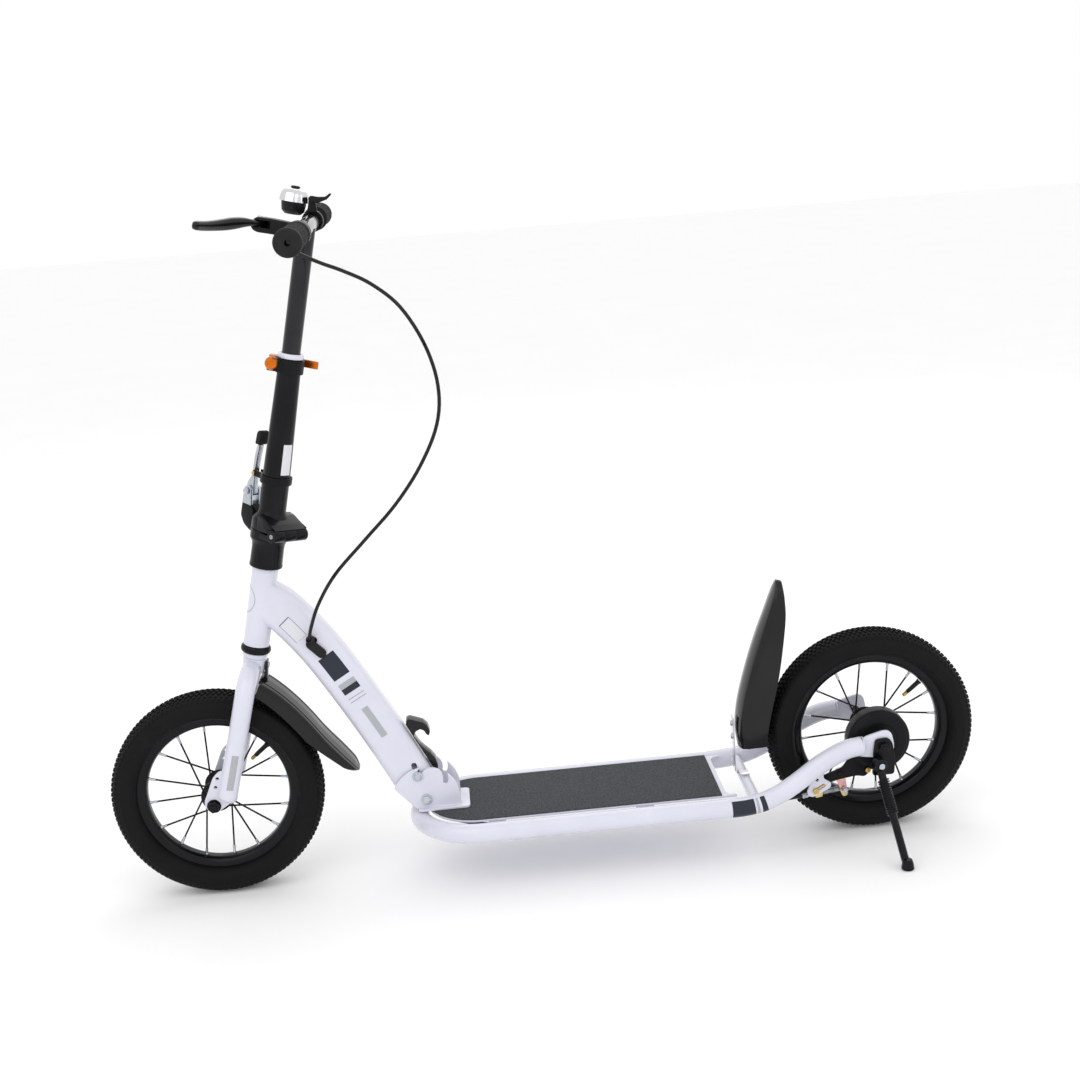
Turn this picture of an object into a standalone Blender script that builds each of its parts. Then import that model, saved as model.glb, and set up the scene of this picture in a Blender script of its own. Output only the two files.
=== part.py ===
"""Folding kick scooter with two spoked 12-inch wheels and a band brake.

Metres, +Z up. The origin is on the ground, midway between the wheels. The front
of the scooter points to -X and the rider's left is -Y.
"""
import bmesh
import bpy
from math import cos, pi, radians, sin
from mathutils import Matrix, Vector

# ---------------------------------------------------------------- dimensions
WHEELBASE = 0.940
TYRE_RADIUS = 0.150
TYRE_WIDTH = 0.055
TREAD_FLAT = 0.028
RIM_OUTER = 0.1125
RIM_INNER = 0.0995
RIM_WIDTH = 0.0265
HUB_FLANGE = 0.0225
SPOKES = 16
SPOKE_RADIUS = 0.0011
VALVE_TURN = radians(39.4)
GAP = 0.0003

# sides of round shapes, by size
WHEEL, LARGE, MEDIUM, SMALL, TINY = 40, 24, 16, 10, 8

HEAD_LEAN = radians(13.2)
RAKE = 0.028
FORK_SPREAD = 0.053
FORK_TUBE = 0.0135
HEAD_BOTTOM = 0.2243
HEAD_TOP = 0.3370
HEAD_RADIUS = 0.0180
STEERER = 0.0125
HINGE_LEVEL = 0.392
HINGE_OFFSET = 0.037
HINGE_TWIST = radians(45.0)
STEM_TOP = 0.6215
STEM_RADIUS_LOW = 0.0186
STEM_RADIUS_TOP = 0.0155
POST_RADIUS = 0.0125
POST_LOW = 0.545
BAR_LEVEL = 0.8026
BAR_RADIUS = 0.0111
BAR_HALF = 0.300
GRIP_HALF = 0.3134
GRIP_INNER = 0.190
GRIP_RADIUS = 0.0170

RAIL_RADIUS = 0.0135
RAIL_HALF = 0.088
RAIL_HEIGHT = 0.084
LOOP_CENTRE = -0.1015
PLATE_REAR = 0.246
MAT_REAR = 0.239
MAT_HALF = 0.0752
MAT_TOP = 0.0995
STAY_HALF = 0.0745

PIVOT = (-0.1768, 0.0, 0.1155)
LOCK_RADIUS = 0.0375
LOCK_ANGLE = radians(104.8)
FOLD = radians(65.0)
LOCK_PIN = 0.003
BRACKET_RADIUS = 0.0485
BRACKET_BASE = 0.0998
TUBE_WIDE = 0.040
TUBE_DEEP = 0.059
TUBE_WALL = 0.0025

ARM_PIVOT = (0.412, -0.0527, 0.106)
CABLE_ENTRY = (-0.3155, -0.030, 0.370)
CABLE_ENTRY_AIM = (0.55, 1.0, -0.35)
KICK_PIVOT = (0.460, -0.0905, 0.128)
KICK_FOOT = (0.478, -0.160, 0.0)

MATERIALS = {
    "white_paint": ((0.86, 0.85, 0.90), 0.22, 0.0),
    "black_paint": ((0.012, 0.013, 0.015), 0.32, 0.0),
    "satin_black": ((0.018, 0.018, 0.02), 0.45, 0.0),
    "black_plastic": ((0.015, 0.015, 0.016), 0.5, 0.0),
    "rubber": ((0.012, 0.012, 0.013), 0.75, 0.0),
    "grit": ((0.045, 0.047, 0.048), 0.95, 0.0),
    "zinc": ((0.55, 0.58, 0.62), 0.3, 1.0),
    "yellow_zinc": ((0.62, 0.45, 0.22), 0.3, 1.0),
    "chrome": ((0.75, 0.75, 0.77), 0.08, 1.0),
    "dark_chrome": ((0.25, 0.25, 0.27), 0.15, 1.0),
    "steel": ((0.5, 0.5, 0.52), 0.3, 1.0),
    "brass": ((0.62, 0.45, 0.16), 0.25, 1.0),
    "orange_anodised": ((0.55, 0.16, 0.02), 0.28, 1.0),
}
SIDE = Matrix.Rotation(pi / 2, 4, "X")
FRAMES = {}
PARENTS = {}


# ------------------------------------------------------------------- helpers
def clear_scene():
    for obj in list(bpy.data.objects):
        bpy.data.objects.remove(obj, do_unlink=True)


def material(name):
    found = bpy.data.materials.get(name)
    if found:
        return found
    colour, roughness, metallic = MATERIALS[name]
    made = bpy.data.materials.new(name)
    made.use_nodes = True
    shader = made.node_tree.nodes["Principled BSDF"]
    shader.inputs["Base Color"].default_value = (*colour, 1.0)
    shader.inputs["Roughness"].default_value = roughness
    shader.inputs["Metallic"].default_value = metallic
    made.diffuse_color = (*colour, 1.0)
    return made


def joint_frame(name, matrix, parent=None):
    """An empty on a joint's axis, which the moving pieces hang from."""
    empty = bpy.data.objects.new(name, None)
    bpy.context.scene.collection.objects.link(empty)
    if parent:
        empty.parent = PARENTS[parent]
        empty.matrix_parent_inverse = FRAMES[parent].inverted()
    empty.matrix_basis = matrix
    FRAMES[name] = matrix
    PARENTS[name] = empty


def place(obj, frame, local):
    if frame in PARENTS:
        obj.parent = PARENTS[frame]
        obj.matrix_parent_inverse = FRAMES[frame].inverted()
        obj.matrix_basis = FRAMES[frame] @ local
    else:
        obj.matrix_basis = local


def solid(name, bm, frame, paint, local=None, smooth=40.0):
    bmesh.ops.recalc_face_normals(bm, faces=bm.faces)
    mesh = bpy.data.meshes.new(name)
    bm.to_mesh(mesh)
    bm.free()
    mesh.materials.append(material(paint))
    mesh.shade_smooth()
    mesh.set_sharp_from_angle(angle=radians(smooth))
    obj = bpy.data.objects.new(name, mesh)
    bpy.context.scene.collection.objects.link(obj)
    place(obj, frame, local or Matrix.Identity(4))
    return obj


def combine(target, other, operation):
    other.hide_render = True
    other.display_type = "WIRE"
    step = target.modifiers.new(other.name, "BOOLEAN")
    step.operation = operation
    step.object = other
    return target


def cut(target, other):
    return combine(target, other, "DIFFERENCE")


def unite(target, other):
    return combine(target, other, "UNION")


def stack_rings(bm, rings, closed=False):
    """Quads between rings of points; open stacks get a flat cap at each end."""
    loops = [[bm.verts.new(point) for point in ring] for ring in rings]
    count = len(loops[0])
    pairs = list(zip(loops, loops[1:]))
    if closed:
        pairs.append((loops[-1], loops[0]))
    for low, high in pairs:
        for i in range(count):
            j = (i + 1) % count
            bm.faces.new((low[i], low[j], high[j], high[i]))
    if not closed:
        bm.faces.new(list(reversed(loops[0])))
        bm.faces.new(loops[-1])


def turned(profile, segments, bm=None, phase=0.0):
    """A solid of revolution about local Z from (radius, height) points."""
    bm = bm or bmesh.new()
    loops = []
    for radius, height in profile:
        if radius < 1e-7:
            loops.append([bm.verts.new((0.0, 0.0, height))])
            continue
        turns = [phase + 2 * pi * i / segments for i in range(segments)]
        ring = [(radius * cos(a), radius * sin(a), height) for a in turns]
        loops.append([bm.verts.new(point) for point in ring])
    closed = len(loops[0]) > 1 and len(loops[-1]) > 1
    pairs = list(zip(loops, loops[1:]))
    if closed:
        pairs.append((loops[-1], loops[0]))
    for low, high in pairs:
        for i in range(segments):
            j = (i + 1) % segments
            if len(low) == 1:
                bm.faces.new((low[0], high[j], high[i]))
            elif len(high) == 1:
                bm.faces.new((low[i], low[j], high[0]))
            else:
                bm.faces.new((low[i], low[j], high[j], high[i]))
    return bm


def rod(radius, start, end, segments, phase=0.0):
    profile = [(0.0, start), (radius, start), (radius, end), (0.0, end)]
    return turned(profile, segments, phase=phase)


def prism(outline, low, high, bm=None):
    """An outline in local XY, extruded along local Z."""
    bm = bm or bmesh.new()
    stack_rings(bm, [[(x, y, z) for x, y in outline] for z in (low, high)])
    return bm


def arc(centre, radius, start, end, steps):
    """Points along an arc; the angles are in degrees."""
    turns = [radians(start + (end - start) * i / steps) for i in range(steps + 1)]
    return [(centre[0] + radius * cos(a), centre[1] + radius * sin(a)) for a in turns]


def round_rect(width, depth, radius, steps=3):
    x, y = width / 2 - radius, depth / 2 - radius
    outline = []
    for cx, cy, turn in ((x, y, 0), (-x, y, 90), (-x, -y, 180), (x, -y, 270)):
        outline += arc((cx, cy), radius, turn, turn + 90, steps)
    return outline


def round_section(radius, sides=10):
    turns = [2 * pi * i / sides for i in range(sides)]
    return [(radius * cos(a), radius * sin(a)) for a in turns]


def smooth_path(points, steps):
    """A Catmull-Rom curve through the points."""
    points = [Vector(p) for p in points]
    ends = [2 * points[0] - points[1], *points, 2 * points[-1] - points[-2]]
    path = []
    for p0, p1, p2, p3 in zip(ends, ends[1:], ends[2:], ends[3:]):
        for i in range(steps):
            t = i / steps
            bend = (2 * p0 - 5 * p1 + 4 * p2 - p3) * t * t + (3 * p1 - p0 - 3 * p2 + p3) * t ** 3
            path.append(0.5 * (2 * p1 + (p2 - p0) * t + bend))
    path.append(points[-1])
    return path


def swept(path, sections, side, bm=None):
    """A section, or one for each point, carried along a path, with its first axis near side."""
    bm = bm or bmesh.new()
    side = Vector(side)
    path = [Vector(p) for p in path]
    if not isinstance(sections[0][0], (list, tuple)):
        sections = [sections] * len(path)
    rings = []
    for i, point in enumerate(path):
        along = (path[min(i + 1, len(path) - 1)] - path[max(i - 1, 0)]).normalized()
        across = (side - along * side.dot(along)).normalized()
        third = along.cross(across)
        rings.append([point + across * u + third * v for u, v in sections[i]])
    stack_rings(bm, rings)
    return bm


def cable(name, points, radius, frame, paint, steps):
    """A round cable: a poly curve through a smooth route, with filled caps."""
    path = smooth_path(points, steps)
    curve = bpy.data.curves.new(name, "CURVE")
    curve.dimensions = "3D"
    curve.bevel_depth = radius
    curve.bevel_resolution = 2
    curve.use_fill_caps = True
    spline = curve.splines.new("POLY")
    spline.points.add(len(path) - 1)
    for slot, point in zip(spline.points, path):
        slot.co = (*point, 1.0)
    curve.materials.append(material(paint))
    obj = bpy.data.objects.new(name, curve)
    bpy.context.scene.collection.objects.link(obj)
    place(obj, frame, Matrix.Identity(4) if frame not in FRAMES else FRAMES[frame].inverted())
    return obj


def shift(x=0.0, y=0.0, z=0.0):
    return Matrix.Translation((x, y, z))


def facing(direction, point=(0.0, 0.0, 0.0)):
    """A frame at a point whose Z axis looks along a direction."""
    turn = Vector(direction).to_track_quat("Z", "Y").to_matrix().to_4x4()
    return Matrix.Translation(point) @ turn


# -------------------------------------------------------------- joint frames
def make_frames():
    half = WHEELBASE / 2
    joint_frame("fold_axis", Matrix.Translation(PIVOT))
    foot = Vector((-half + RAKE * cos(HEAD_LEAN), 0.0, TYRE_RADIUS - RAKE * sin(HEAD_LEAN)))
    steer = Matrix.Translation(foot) @ Matrix.Rotation(HEAD_LEAN, 4, "Y")
    joint_frame("steering_axis", steer, "fold_axis")
    front = Matrix.Translation((-half, 0.0, TYRE_RADIUS)) @ SIDE
    joint_frame("front_wheel_axis", front, "steering_axis")
    joint_frame("rear_wheel_axis", Matrix.Translation((half, 0.0, TYRE_RADIUS)) @ SIDE)
    twist = Matrix.Rotation(HINGE_TWIST, 4, "Z")
    hinge = steer @ shift(z=HINGE_LEVEL) @ twist @ shift(y=-HINGE_OFFSET)
    joint_frame("stem_hinge_axis", hinge, "steering_axis")
    latch = steer @ shift(z=0.434) @ twist @ shift(y=0.0455)
    joint_frame("latch_axis", latch, "steering_axis")
    joint_frame("bar_slide_axis", steer @ shift(z=BAR_LEVEL), "stem_hinge_axis")
    joint_frame("clamp_cam_axis", steer @ shift(-0.0225, 0.026, 0.6205), "stem_hinge_axis")
    joint_frame("brake_pivot_axis", steer @ shift(-0.046, -0.150, BAR_LEVEL + 0.006), "bar_slide_axis")
    joint_frame("bell_pivot_axis", steer @ shift(-0.0040, 0.1140, BAR_LEVEL + 0.030), "bar_slide_axis")
    joint_frame("brake_arm_axis", Matrix.Translation(ARM_PIVOT) @ SIDE)
    spread = Vector(KICK_FOOT) - Vector(KICK_PIVOT)
    axis = Vector((spread.x, spread.y, 0.0)).normalized()
    joint_frame("kickstand_axis", facing(axis, KICK_PIVOT))
    middle = LOCK_ANGLE - FOLD / 2
    reach = LOCK_RADIUS * cos(FOLD / 2)
    centre = Vector(PIVOT) + reach * Vector((cos(middle), 0.0, sin(middle)))
    joint_frame("lock_swing_axis", Matrix.Translation(centre))


# -------------------------------------------------------------------- wheels
def wheel(end, frame):
    """Tyre, rim, hub with its spokes, and valve, turned about the frame's Z axis."""
    half, rim = TYRE_WIDTH / 2, RIM_WIDTH / 2
    wall = TYRE_RADIUS - half
    phase = pi / WHEEL
    tread = TYRE_RADIUS / cos(phase)
    tyre = [
        (RIM_OUTER + GAP, -rim + 0.003),
        (RIM_OUTER + GAP, rim - 0.003),
        (wall - 0.008, half * 0.90),
        (wall + 0.008, half),
        (TYRE_RADIUS - 0.004, half * 0.74),
        (tread, TREAD_FLAT / 2),
    ]
    tyre += [(r, -z) for r, z in reversed(tyre[2:])]
    solid(f"{end}_tyre", turned(tyre, WHEEL, phase=phase), frame, "rubber")
    ring = [
        (RIM_INNER, -0.005),
        (RIM_INNER, 0.005),
        (RIM_INNER + 0.0035, rim),
        (RIM_OUTER, rim),
    ]
    ring += [(r, -z) for r, z in (ring[3], ring[2])]
    solid(f"{end}_rim", turned(ring, WHEEL, phase=phase), frame, "black_paint")
    flange = 0.0215
    hub = [
        (0.0052, -0.030), (0.010, -0.030), (0.010, -flange - 0.002),
        (HUB_FLANGE, -flange - 0.0015), (HUB_FLANGE, -flange + 0.0015), (0.0125, -flange + 0.004),
        (0.0125, flange - 0.004), (HUB_FLANGE, flange - 0.0015), (HUB_FLANGE, flange + 0.0015),
        (0.010, flange + 0.002), (0.010, 0.030), (0.0052, 0.030),
    ]
    body = solid(f"{end}_hub_and_spokes", turned(hub, MEDIUM), frame, "black_paint")
    spokes = bmesh.new()
    for i in range(SPOKES):
        turn = 2 * pi * (i + 0.25) / SPOKES
        side = 1 if i % 2 else -1
        lead = radians(38) if (i // 2) % 2 else -radians(38)
        start = Vector((0.0195 * cos(turn - lead), 0.0195 * sin(turn - lead), side * flange))
        end_at = Vector(((RIM_INNER - 0.001) * cos(turn),
        (RIM_INNER - 0.001) * sin(turn), side * 0.003))
        swept([start, end_at], round_section(SPOKE_RADIUS, 6), (0, 0, 1), spokes)
    unite(body, solid(f"{end}_spoke_set", spokes, frame, "black_paint"))
    stem = facing(Vector((cos(VALVE_TURN), sin(VALVE_TURN), 0.0)) * -1)
    reach = RIM_INNER - 0.0008
    pin = [(0.0, -reach), (0.0032, -reach), (0.0032, -reach + 0.014), (0.0026, -reach + 0.015),
           (0.0026, -reach + 0.032), (0.0, -reach + 0.032)]
    solid(f"{end}_valve", turned(pin, TINY), frame, "rubber", stem)


def axle(name, frame, local, half, nut_at):
    """A threaded axle with its two nuts."""
    nut_radius, paint = 0.0085, "black_paint"
    obj = solid(name, rod(0.0048, -half, half, SMALL), frame, paint, local)
    nuts = bmesh.new()
    for side in (-1, 1):
        low, high = sorted((side * nut_at, side * (nut_at + 0.007)))
        profile = [(0.0, low), (nut_radius, low), (nut_radius, high), (0.0, high)]
        turned(profile, 6, nuts)
    unite(obj, solid(f"{name}_nut_set", nuts, frame, paint, local))


def brake_unit():
    """Band brake on the rear wheel's left: drum, band, cover and its reaction arm."""
    drum = [(0.0105, 0.0345), (0.034, 0.0345), (0.034, 0.0525), (0.0315, 0.0525),
            (0.0315, 0.0375), (0.0105, 0.0375)]
    solid("brake_drum", turned(drum, LARGE), "rear_wheel_axis", "steel")
    strip = arc((0.0, 0.0), 0.0345, 250, -70, 24) + arc((0.0, 0.0), 0.0370, -70, 250, 24)
    band_place = FRAMES["rear_wheel_axis"]
    solid("brake_band", prism(strip, 0.0375, 0.0515), None, "steel", band_place)
    cover = [(0.0065, 0.0545), (0.0065, 0.0615), (0.016, 0.0615), (0.018, 0.0590), (0.040, 0.0590),
             (0.0445, 0.0560), (0.0450, 0.0360), (0.0432, 0.0360), (0.0425, 0.0545)]
    obj = solid("brake_cover", turned(cover, LARGE), None, "satin_black", band_place)
    arm = [(-0.0300, -0.0220), (-0.0165, -0.0340), (-0.0155, -0.0455), (-0.0225, -0.0520),
           (-0.0340, -0.0490), (-0.0620, -0.0530), (-0.0830, -0.0590), (-0.0885, -0.0520),
           (-0.0850, -0.0450), (-0.0550, -0.0350), (-0.0400, -0.0150)]
    plate = solid("reaction_arm_plate", prism(arm, 0.0552, 0.0583), None, "satin_black", band_place)
    unite(obj, plate)
    pin = [(0.0, -0.0042), (0.0050, -0.0042), (0.0050, -0.0024), (0.0025, -0.0024), (0.0025, 0.0050),
           (0.0048, 0.0050), (0.0048, 0.0078), (0.0, 0.0078)]
    unite(obj, solid("brake_arm_pin", turned(pin, SMALL), None, "brass", FRAMES["brake_arm_axis"]))


def brake_arm():
    """The lever that the lower cable pulls to tighten the band."""
    outline = arc((0.0, 0.0), 0.0070, 12, 192, 6) + arc((0.0070, -0.0320), 0.0048, 192, 372, 6)
    body = solid("brake_arm", prism(outline, -0.0015, 0.0015), "brake_arm_axis", "yellow_zinc")
    cut(body, solid("cut_arm_pivot", rod(0.0028, -0.01, 0.01, SMALL), "brake_arm_axis", "steel"))


# ---------------------------------------------------------------- rear frame
def rail_route():
    """Centre line of the deck loop, from the left stay round the front to the right stay."""
    stay = [(0.4395, STAY_HALF, 0.1525), (0.420, 0.0752, 0.1500), (0.400, 0.0768, 0.1430),
            (0.380, 0.0787, 0.1330), (0.360, 0.0808, 0.1205), (0.340, 0.0830, 0.1080),
            (0.318, 0.0853, 0.0965), (0.295, 0.0871, 0.0885), (0.270, RAIL_HALF, 0.0848),
            (0.245, RAIL_HALF, RAIL_HEIGHT)]
    left = smooth_path([(x, -y, z) for x, y, z in stay], 1)
    bend = [(x, y, RAIL_HEIGHT) for x, y in arc((LOOP_CENTRE, 0.0), RAIL_HALF, 270, 90, 12)]
    right = [Vector((p.x, -p.y, p.z)) for p in reversed(left)]
    return left + [Vector(p) for p in bend] + right


def deck():
    rails = swept(rail_route(), round_section(RAIL_RADIUS), (0, 0, 1))
    frame = solid("deck_frame", rails, None, "white_paint")
    inner = RAIL_HALF - RAIL_RADIUS - GAP
    across = shift(0.286, 0.0, 0.0875) @ Matrix.Rotation(-pi / 2, 4, "X")
    bar = rod(0.008, -RAIL_HALF, RAIL_HALF, SMALL)
    unite(frame, solid("rear_cross_tube", bar, None, "white_paint", across))
    corner = 0.014
    plate = arc((LOOP_CENTRE, 0.0), inner, 90, 270, 20)
    plate += [(PLATE_REAR + corner, -inner), (PLATE_REAR + corner, -inner + 0.004)]
    plate += arc((PLATE_REAR + corner, -inner + 0.004 + corner), corner, 270, 180, 5)
    plate += arc((PLATE_REAR + corner, inner - 0.004 - corner), corner, 180, 90, 5)
    plate += [(PLATE_REAR + corner, inner)]
    tray = solid("deck_plate", prism(plate, 0.0942, 0.0974), None, "white_paint")
    cut(tray, solid("cut_cable_hole", rod(0.0045, 0.09, 0.12, SMALL), None, "steel", shift(-0.158)))
    mat = arc((LOOP_CENTRE, 0.0), MAT_HALF, 90, 270, 20)
    mat += [(MAT_REAR, -MAT_HALF), (MAT_REAR, MAT_HALF)]
    grip = solid("deck_mat", prism(mat, 0.0977, MAT_TOP), None, "grit")
    cut(grip, bpy.data.objects["cut_cable_hole"])
    for name, x in (("front_cross_member", -0.080), ("rear_cross_member", 0.130)):
        beam = round_rect(0.024, 0.0125, 0.002, 2)
        turn = shift(x, 0.0, 0.0875) @ Matrix.Rotation(pi / 2, 4, "X")
        unite(frame, solid(name, prism(beam, -RAIL_HALF, RAIL_HALF), None, "white_paint", turn))
    dropouts(frame)


def dropouts(frame):
    """Plates welded to the stays' ends, which carry the rear axle, and the brake's anchor tab."""
    outline = [(-0.0380, -0.0120), (-0.0290, 0.0150), (0.0035, 0.0235), (0.0125, 0.0195),
               (0.0165, -0.0020), (0.0125, -0.0150), (-0.004, -0.0175)]
    for name, low in (("left_dropout", 0.0722), ("right_dropout", -0.0768)):
        place_at = Matrix.Translation((WHEELBASE / 2, 0.0, TYRE_RADIUS)) @ SIDE
        unite(frame, solid(name, prism(outline, low, low + 0.0046), None, "white_paint", place_at))
        hole = solid(f"cut_{name}", rod(0.0052, low - 0.01, low + 0.015, SMALL), None, "steel", place_at)
        cut(frame, hole)
    tab = [(0.0082, 0.0030), (0.0070, 0.0220), (-0.0050, 0.0220), (-0.0085, 0.0030)]
    tab += arc((-0.0085, -0.0155), 0.0078, 165, 285, 6)
    tab += arc((0.0105, -0.0065), 0.0078, -60, 20, 4)
    place_at = Matrix.Translation((0.3775, -0.0690, 0.1035)) @ SIDE
    unite(frame, solid("brake_anchor_tab", prism(tab, -0.0018, 0.0018), None, "white_paint", place_at))
    hole_at = place_at @ shift(-0.002, 0.002)
    cut(frame, solid("cut_anchor_hole", rod(0.0026, -0.01, 0.01, TINY), None, "steel", hole_at))
    slot_turn = place_at @ shift(0.0015, -0.0105) @ Matrix.Rotation(radians(28), 4, "Z")
    slot = prism(round_rect(0.019, 0.0056, 0.0027), -0.01, 0.01)
    cut(frame, solid("cut_anchor_slot", slot, None, "steel", slot_turn))


def fold_bracket():
    """U-shaped bracket whose two cheeks hold the pivot bolt and the lock pin's notches."""
    middle = LOCK_ANGLE - FOLD / 2
    base_low = BRACKET_BASE - PIVOT[2]
    cheek = arc((0.0, 0.0), BRACKET_RADIUS, -7, 156, 14)
    cheek += [(-0.0140, base_low + 0.001), (0.050, base_low + 0.001)]
    local = FRAMES["fold_axis"]
    flat = prism(round_rect(0.0740, 0.066, 0.003, 2), base_low, base_low + 0.0032)
    base = solid("fold_bracket", flat, None, "white_paint", local @ shift(0.0240))
    reach = LOCK_RADIUS * cos(FOLD / 2)
    swing = LOCK_RADIUS * sin(FOLD / 2)
    centre = (reach * cos(middle), reach * sin(middle))
    folded = (centre[0] + swing * sin(middle), centre[1] - swing * cos(middle))
    locked = (centre[0] - swing * sin(middle), centre[1] + swing * cos(middle))
    turn = middle * 180 / pi
    slit = LOCK_PIN + 0.0006
    # the lock pin's way from one notch, over the top, to the other
    groove = arc(centre, swing + slit, turn + 90, turn - 90, 14)
    groove += arc(folded, slit, turn - 90, turn - 270, 6)[1:]
    groove += arc(centre, swing - slit, turn - 90, turn + 90, 14)[1:]
    groove += arc(locked, slit, turn - 90, turn - 270, 6)[1:-1]
    upright = local @ SIDE
    for side, low in (("left", 0.0212), ("right", -0.0252)):
        wall = solid(f"{side}_cheek", prism(cheek, low, low + 0.0040), None, "white_paint", upright)
        path = prism(groove, low - 0.004, low + 0.008)
        cut(wall, solid(f"cut_{side}_lock_path", path, None, "steel", upright))
        unite(base, wall)
    hole = solid("cut_pivot_bore", rod(0.0043, -0.05, 0.05, SMALL), None, "steel", local @ SIDE)
    cut(base, hole)
    cut(base, bpy.data.objects["cut_cable_hole"])
    bolt = [(0.0, -0.0330), (0.0062, -0.0330), (0.0062, -0.0256), (0.0040, -0.0256), (0.0040, 0.0255),
            (0.0066, 0.0255), (0.0066, 0.0300), (0.0045, 0.0312), (0.0, 0.0312)]
    solid("fold_pivot_bolt", turned(bolt, SMALL), None, "zinc", local @ SIDE)


def lock_pin():
    """Cross pin with its two washers, resting in the cheeks' front notches."""
    rest = Vector(PIVOT) + LOCK_RADIUS * Vector((cos(LOCK_ANGLE), 0.0, sin(LOCK_ANGLE)))
    local = FRAMES["lock_swing_axis"].inverted() @ Matrix.Translation(rest) @ SIDE
    profile = [(0.0, -0.0295), (0.0045, -0.0295), (0.0050, -0.0275), (0.0072, -0.0275),
               (0.0072, -0.0256), (LOCK_PIN, -0.0256), (LOCK_PIN, 0.0256), (0.0072, 0.0256),
               (0.0072, 0.0275), (0.0050, 0.0275), (0.0045, 0.0295), (0.0, 0.0295)]
    solid("fold_lock_pin", turned(profile, SMALL), "lock_swing_axis", "zinc", local)


# --------------------------------------------------------------- front frame
def down_tube_route():
    points = [(-0.388, 0.434), (-0.370, 0.4240), (-0.350, 0.4080), (-0.326, 0.3790), (-0.303, 0.3470),
              (-0.284, 0.3160), (-0.264, 0.2810), (-0.240, 0.2370), (-0.216, 0.1905), (-0.190, 0.1370),
              (-0.172, 0.0995)]
    return smooth_path([(x, 0.0, z) for x, z in points], 1)


def front_frame():
    """Head tube and curved down tube, hollow and open at both ends of each."""
    frame = "fold_axis"
    back = FRAMES[frame].inverted()
    head_place = back @ FRAMES["steering_axis"]
    head = [(0.0, HEAD_BOTTOM), (HEAD_RADIUS, HEAD_BOTTOM), (HEAD_RADIUS, HEAD_TOP), (0.0, HEAD_TOP)]
    body = solid("front_frame", turned(head, LARGE), frame, "white_paint", head_place)
    section = round_rect(TUBE_WIDE, TUBE_DEEP, 0.012, 2)
    tube = swept(down_tube_route(), section, (0, 1, 0))
    unite(body, solid("down_tube_skin", tube, frame, "white_paint", back))
    bore = rod(0.0155, HEAD_BOTTOM - 0.01, HEAD_TOP + 0.01, LARGE)
    cut(body, solid("cut_head_bore", bore, frame, "steel", head_place))
    hollow = round_rect(TUBE_WIDE - 2 * TUBE_WALL, TUBE_DEEP - 2 * TUBE_WALL, 0.0095, 2)
    inside = swept(down_tube_route()[1:], hollow, (0, 1, 0))
    cut(body, solid("cut_down_tube_bore", inside, frame, "steel", back))
    # the tube's lower end is rounded about the pivot, so that it clears the bracket's floor
    low, far = 0.0118, 0.090
    end = [(-0.0470, 0.0220), (-0.0150, -low), (0.0, -low)]
    tilt = FOLD - pi / 2
    end += arc((0.0, 0.0), low, -90, tilt * 180 / pi, 5)[1:]
    end += [(low * cos(tilt) - far * sin(tilt), low * sin(tilt) + far * cos(tilt))]
    end += [(far, far), (far, -far), (-far, -far), (-far, 0.0220)]
    cut(body, solid("cut_tube_end", prism(end, -0.04, 0.04), frame, "steel", SIDE))
    cut(body, solid("cut_tube_pivot", rod(0.0044, -0.04, 0.04, SMALL), frame, "steel", SIDE))
    # the slot runs outward from the pivot, along the lock pin's lift
    reach = LOCK_RADIUS * cos(FOLD / 2) + LOCK_RADIUS * sin(FOLD / 2)
    slot_low, slot_high = LOCK_RADIUS - LOCK_PIN - 0.001, reach + LOCK_PIN + 0.002
    slot = prism(round_rect(slot_high - slot_low, 2 * LOCK_PIN + 0.0021, 0.0040), -0.04, 0.04)
    aim = SIDE @ Matrix.Rotation(LOCK_ANGLE, 4, "Z") @ shift((slot_low + slot_high) / 2)
    cut(body, solid("cut_lock_slot", slot, frame, "steel", aim))
    mouth = facing(CABLE_ENTRY_AIM, CABLE_ENTRY)
    cut(body, solid("cut_cable_mouth", rod(0.0042, -0.004, 0.018, SMALL), frame, "steel", back @ mouth))


def cable_boot():
    """Rubber grommet on the down tube's left face, where the cable goes in."""
    frame = "fold_axis"
    outline = round_rect(0.033, 0.0135, 0.0065, 4)
    back = FRAMES[frame].inverted()
    flat = Matrix.Translation((-0.3080, -0.0203, 0.3540)) @ SIDE @ Matrix.Rotation(radians(-47), 4, "Z")
    body = solid("cable_boot", prism(outline, 0.0, 0.0050), frame, "rubber", back @ flat)
    mouth = back @ facing(CABLE_ENTRY_AIM, CABLE_ENTRY)
    cut(body, solid("cut_boot_mouth", rod(0.0029, -0.02, 0.03, SMALL), frame, "steel", mouth))


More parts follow.
